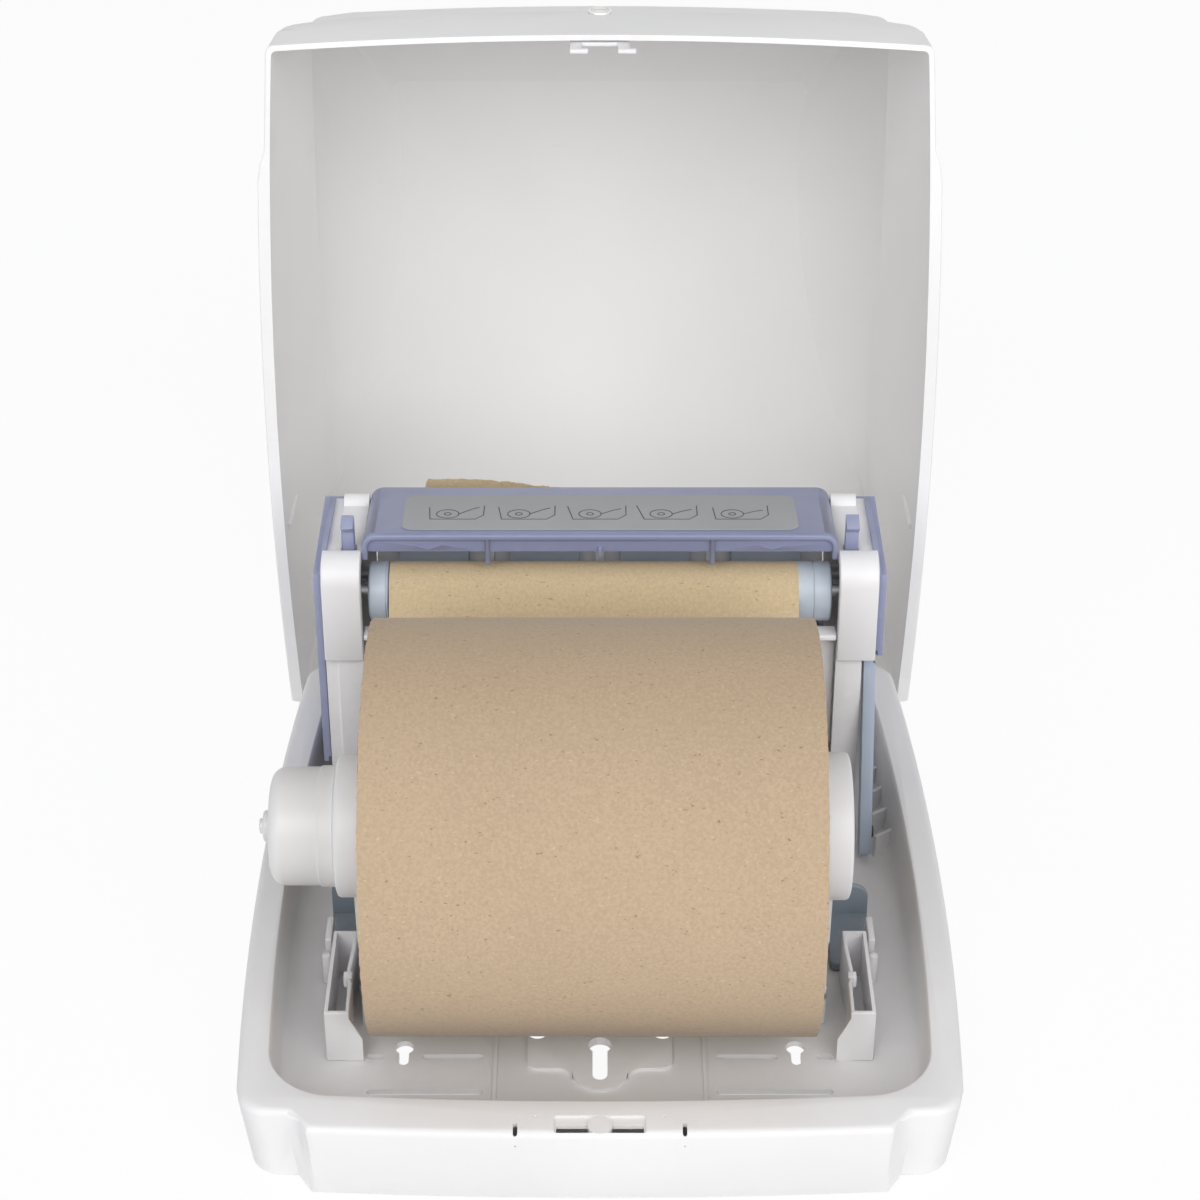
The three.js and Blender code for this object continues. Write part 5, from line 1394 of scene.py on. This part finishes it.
def guide_cover():
    """Lid with rounded side edges, a bead round its near face, two ribs, a stop and two moulded arrows"""
    lid = copy_of("guide_cover")
    length, near = guide_frame()[1], GUIDE_NEAR[0]
    for side in (-1, 1):
        flat, outside = side * (LID_HALF - LID_ROUND), side * (LID_HALF + 2)
        corner = [(outside, 2), (flat, 2), *arc(flat, -LID_ROUND, LID_ROUND, 90, 90 - side * 90, 8),
                  (outside, -LID_ROUND)]
        lid = cut(lid, face_outwards(on_lid(wall("lid_corner", corner, -8, length + 8))))
    finish(lid, 0.7, 40)
    lid.name = "guide_lid"
    parts = [soften(wall("lid_bead", lid_edge(0) + lid_edge(2.8)[::-1], near - 2, near + 2), 0.8, 3, 50)]
    for x in (-55.5, 55.5):
        rib = block("lid_rib", x - 1.1, x + 1.1, near - 1.6, near + 2, 159.2, GUIDE_NEAR[1] - 1)
        tip = x * 1.53
        arrow = thick_line([(tip - 6.5, 170.6), (tip, 168), (tip + 6.5, 170.6)], 1.1)
        parts += [soften(rib, 0.5, 2, 50), wall("lid_arrow", arrow, near - 0.35, near + 1)]
    parts.append(soften(block("lid_stop", -1, 1, near - 1.4, near + 2, 164, 169.5), 0.5, 2, 50))
    lid = tidy_flats(add(lid, *parts), 0.2)
    dress(lid, SHADED_LID_BLUE, "guide", "guide_cover", degrees=32)


def label_sheet():
    """Lays the label on the lid, and gives the height of its middle line"""
    label = Limits("instruction_label")
    middle = guide_frame()[1] * 0.45
    sheet = plate("label_sheet", rounded((label.x1 - label.x0) / 2, 23, 6, 10, 0, middle), 0.05, 0.5)
    dress(on_lid(soften(sheet, 0.12, 2, 60)), LABEL_FILM, "guide", "instruction_label", degrees=30)
    return middle


def thick_line(points, width):
    left, right = [], []
    for i, point in enumerate(points):
        before, after = Vector(points[max(i - 1, 0)]), Vector(points[min(i + 1, len(points) - 1)])
        way = (after - before).normalized()
        side = Vector((-way.y, way.x)) * (width / 2)
        left.append((point[0] + side.x, point[1] + side.y))
        right.append((point[0] - side.x, point[1] - side.y))
    return left + right[::-1]


def pictograms(middle):
    """Generic line drawings of loading a roll, in five fields"""
    marks = []
    for i, lift in enumerate((0, 3, 6, 9, 0)):
        centre = -71.2 + 35.6 * i
        x, v, radius = centre - 5, middle - 2.5, 5.6
        loop = arc(x, v, radius, 0, 345, 23)
        hole = arc(x, v, 1.7, 0, 330, 11)
        hinge = (centre - 13.5, middle - 9.5)
        drawings = {
            "roll_drawing": loop + [loop[0]],
            "core_drawing": hole + [hole[0]],
            "case_drawing": [hinge, (centre + 9, middle - 9.5), (centre + 13, middle - 4),
                             (centre + 13, middle + 8.5)],
            "lid_drawing": [hinge, (centre - 14.5 - lift * 0.3, middle + 6 + lift * 0.3)],
            "sheet_drawing": [(x + radius, v), (centre + 6.5, middle + 3.5 - i * 0.6),
                              (centre + 10.5, middle + 6.5 - i)],
        }
        marks += [plate(name, thick_line(line, 0.5), 0.5, 0.62) for name, line in drawings.items()]
    ink = marks[0]
    for mark in marks[1:]:
        join_meshes(ink, mark)
    ink.name = "label_drawings"
    dress(on_lid(ink), LABEL_INK, "guide", degrees=30)


def join_meshes(keep, other):
    work = bmesh.new()
    work.from_mesh(keep.data)
    work.from_mesh(other.data)
    work.to_mesh(keep.data)
    work.free()
    bpy.data.objects.remove(other)


# Build every piece
make_cover()
lock_barrel()
finished("cover_latch", PART_WHITE, "latch", 0.5, 3, 30)
make_tray()
paper_roll()
paper_web()
roll_core()
for side, name in SIDES:
    roll_arm(side, name)
    core_plug(side, name)
    arm_bracket(side, name)
    arm_base(side, name)
left_hub()
right_hub()
saddles_and_pins()
feed_parts()
drum_parts()
frame_parts()
lever()
guide_cover()
pictograms(label_sheet())


# Stage, light and camera
def seen_directly(tree):
    """One for the camera's rays and for rays in gloss or glass, and nought for the rest"""
    ray = tree.nodes.new("ShaderNodeLightPath").outputs
    gloss = math_node(tree, "MAXIMUM", ray["Is Glossy Ray"], ray["Is Transmission Ray"])
    return math_node(tree, "MAXIMUM", ray["Is Camera Ray"], gloss)


def blend_shaders(tree, share, first, second, output):
    mix = tree.nodes.new("ShaderNodeMixShader")
    for index, source in enumerate((share, first, second)):
        tree.links.new(source, mix.inputs[index])
    tree.links.new(mix.outputs[0], output.inputs["Surface"])


def glowing(tree, kind, colour, strength):
    return make_node(tree, kind, {}, {"Color": (*colour, 1), "Strength": strength}).outputs[0]


def white_for_the_camera(material, strength):
    """The camera and gloss see the surface as near white, and other rays see it as it is lit"""
    tree = material.node_tree
    output = tree.nodes["Material Output"]
    lit = output.inputs["Surface"].links[0].from_socket
    glow = glowing(tree, "ShaderNodeEmission", (1, 1, 1), 1)
    blend_shaders(tree, product(tree, seen_directly(tree), strength), lit, glow, output)


def floor():
    corners = [(x * 4000, y * 4000, -0.4) for x, y in ((-1, -1), (1, -1), (1, 1), (-1, 1))]
    piece = new_piece("studio_floor", corners, [(0, 1, 2, 3)])
    material = bpy.data.materials.new("studio_floor")
    material.use_nodes = True
    shader = material.node_tree.nodes["Principled BSDF"]
    shader.inputs["Base Color"].default_value = (0.9, 0.9, 0.9, 1)
    shader.inputs["Roughness"].default_value = 0.9
    white_for_the_camera(material, 0.93)
    piece.data.materials.append(material)


def lamp(name, place, aim, size, power):
    data = bpy.data.lights.new(name, "AREA")
    data.shape = "SQUARE"
    data.size = size
    data.energy = power
    light = bpy.data.objects.new(name, data)
    bpy.context.scene.collection.objects.link(light)
    light.location = place
    light.rotation_euler = (Vector(aim) - Vector(place)).to_track_quat("-Z", "Y").to_euler()


def studio():
    floor()
    world = bpy.data.worlds.new("studio")
    bpy.context.scene.world = world
    world.use_nodes = True
    tree = world.node_tree
    tree.nodes.clear()
    soft = glowing(tree, "ShaderNodeBackground", (0.93, 0.95, 1), 0.34)
    white = glowing(tree, "ShaderNodeBackground", (1, 1, 1), 1)
    blend_shaders(tree, seen_directly(tree), soft, white, tree.nodes.new("ShaderNodeOutputWorld"))
    lamp("key", (-1.5, -2.7, 2.5), (0, 0.05, 0.12), 2.4, 63)
    lamp("fill", (1.6, -2.8, 2.3), (0, 0.05, 0.12), 2.8, 77)
    lamp("top", (0.1, 0.1, 2.4), (0, 0.05, 0), 1.6, 3)


def camera():
    data = bpy.data.cameras.new("photo_camera")
    data.sensor_width = 36
    data.lens = 85.38
    data.clip_end = 20
    view = bpy.data.objects.new("photo_camera", data)
    bpy.context.scene.collection.objects.link(view)
    view.location = Vector((0, -1102.05, 902.11)) * MM
    view.rotation_euler = (math.radians(57.46), 0, 0)
    bpy.context.scene.camera = view


studio()
camera()
bpy.context.scene.view_settings.view_transform = "Standard"
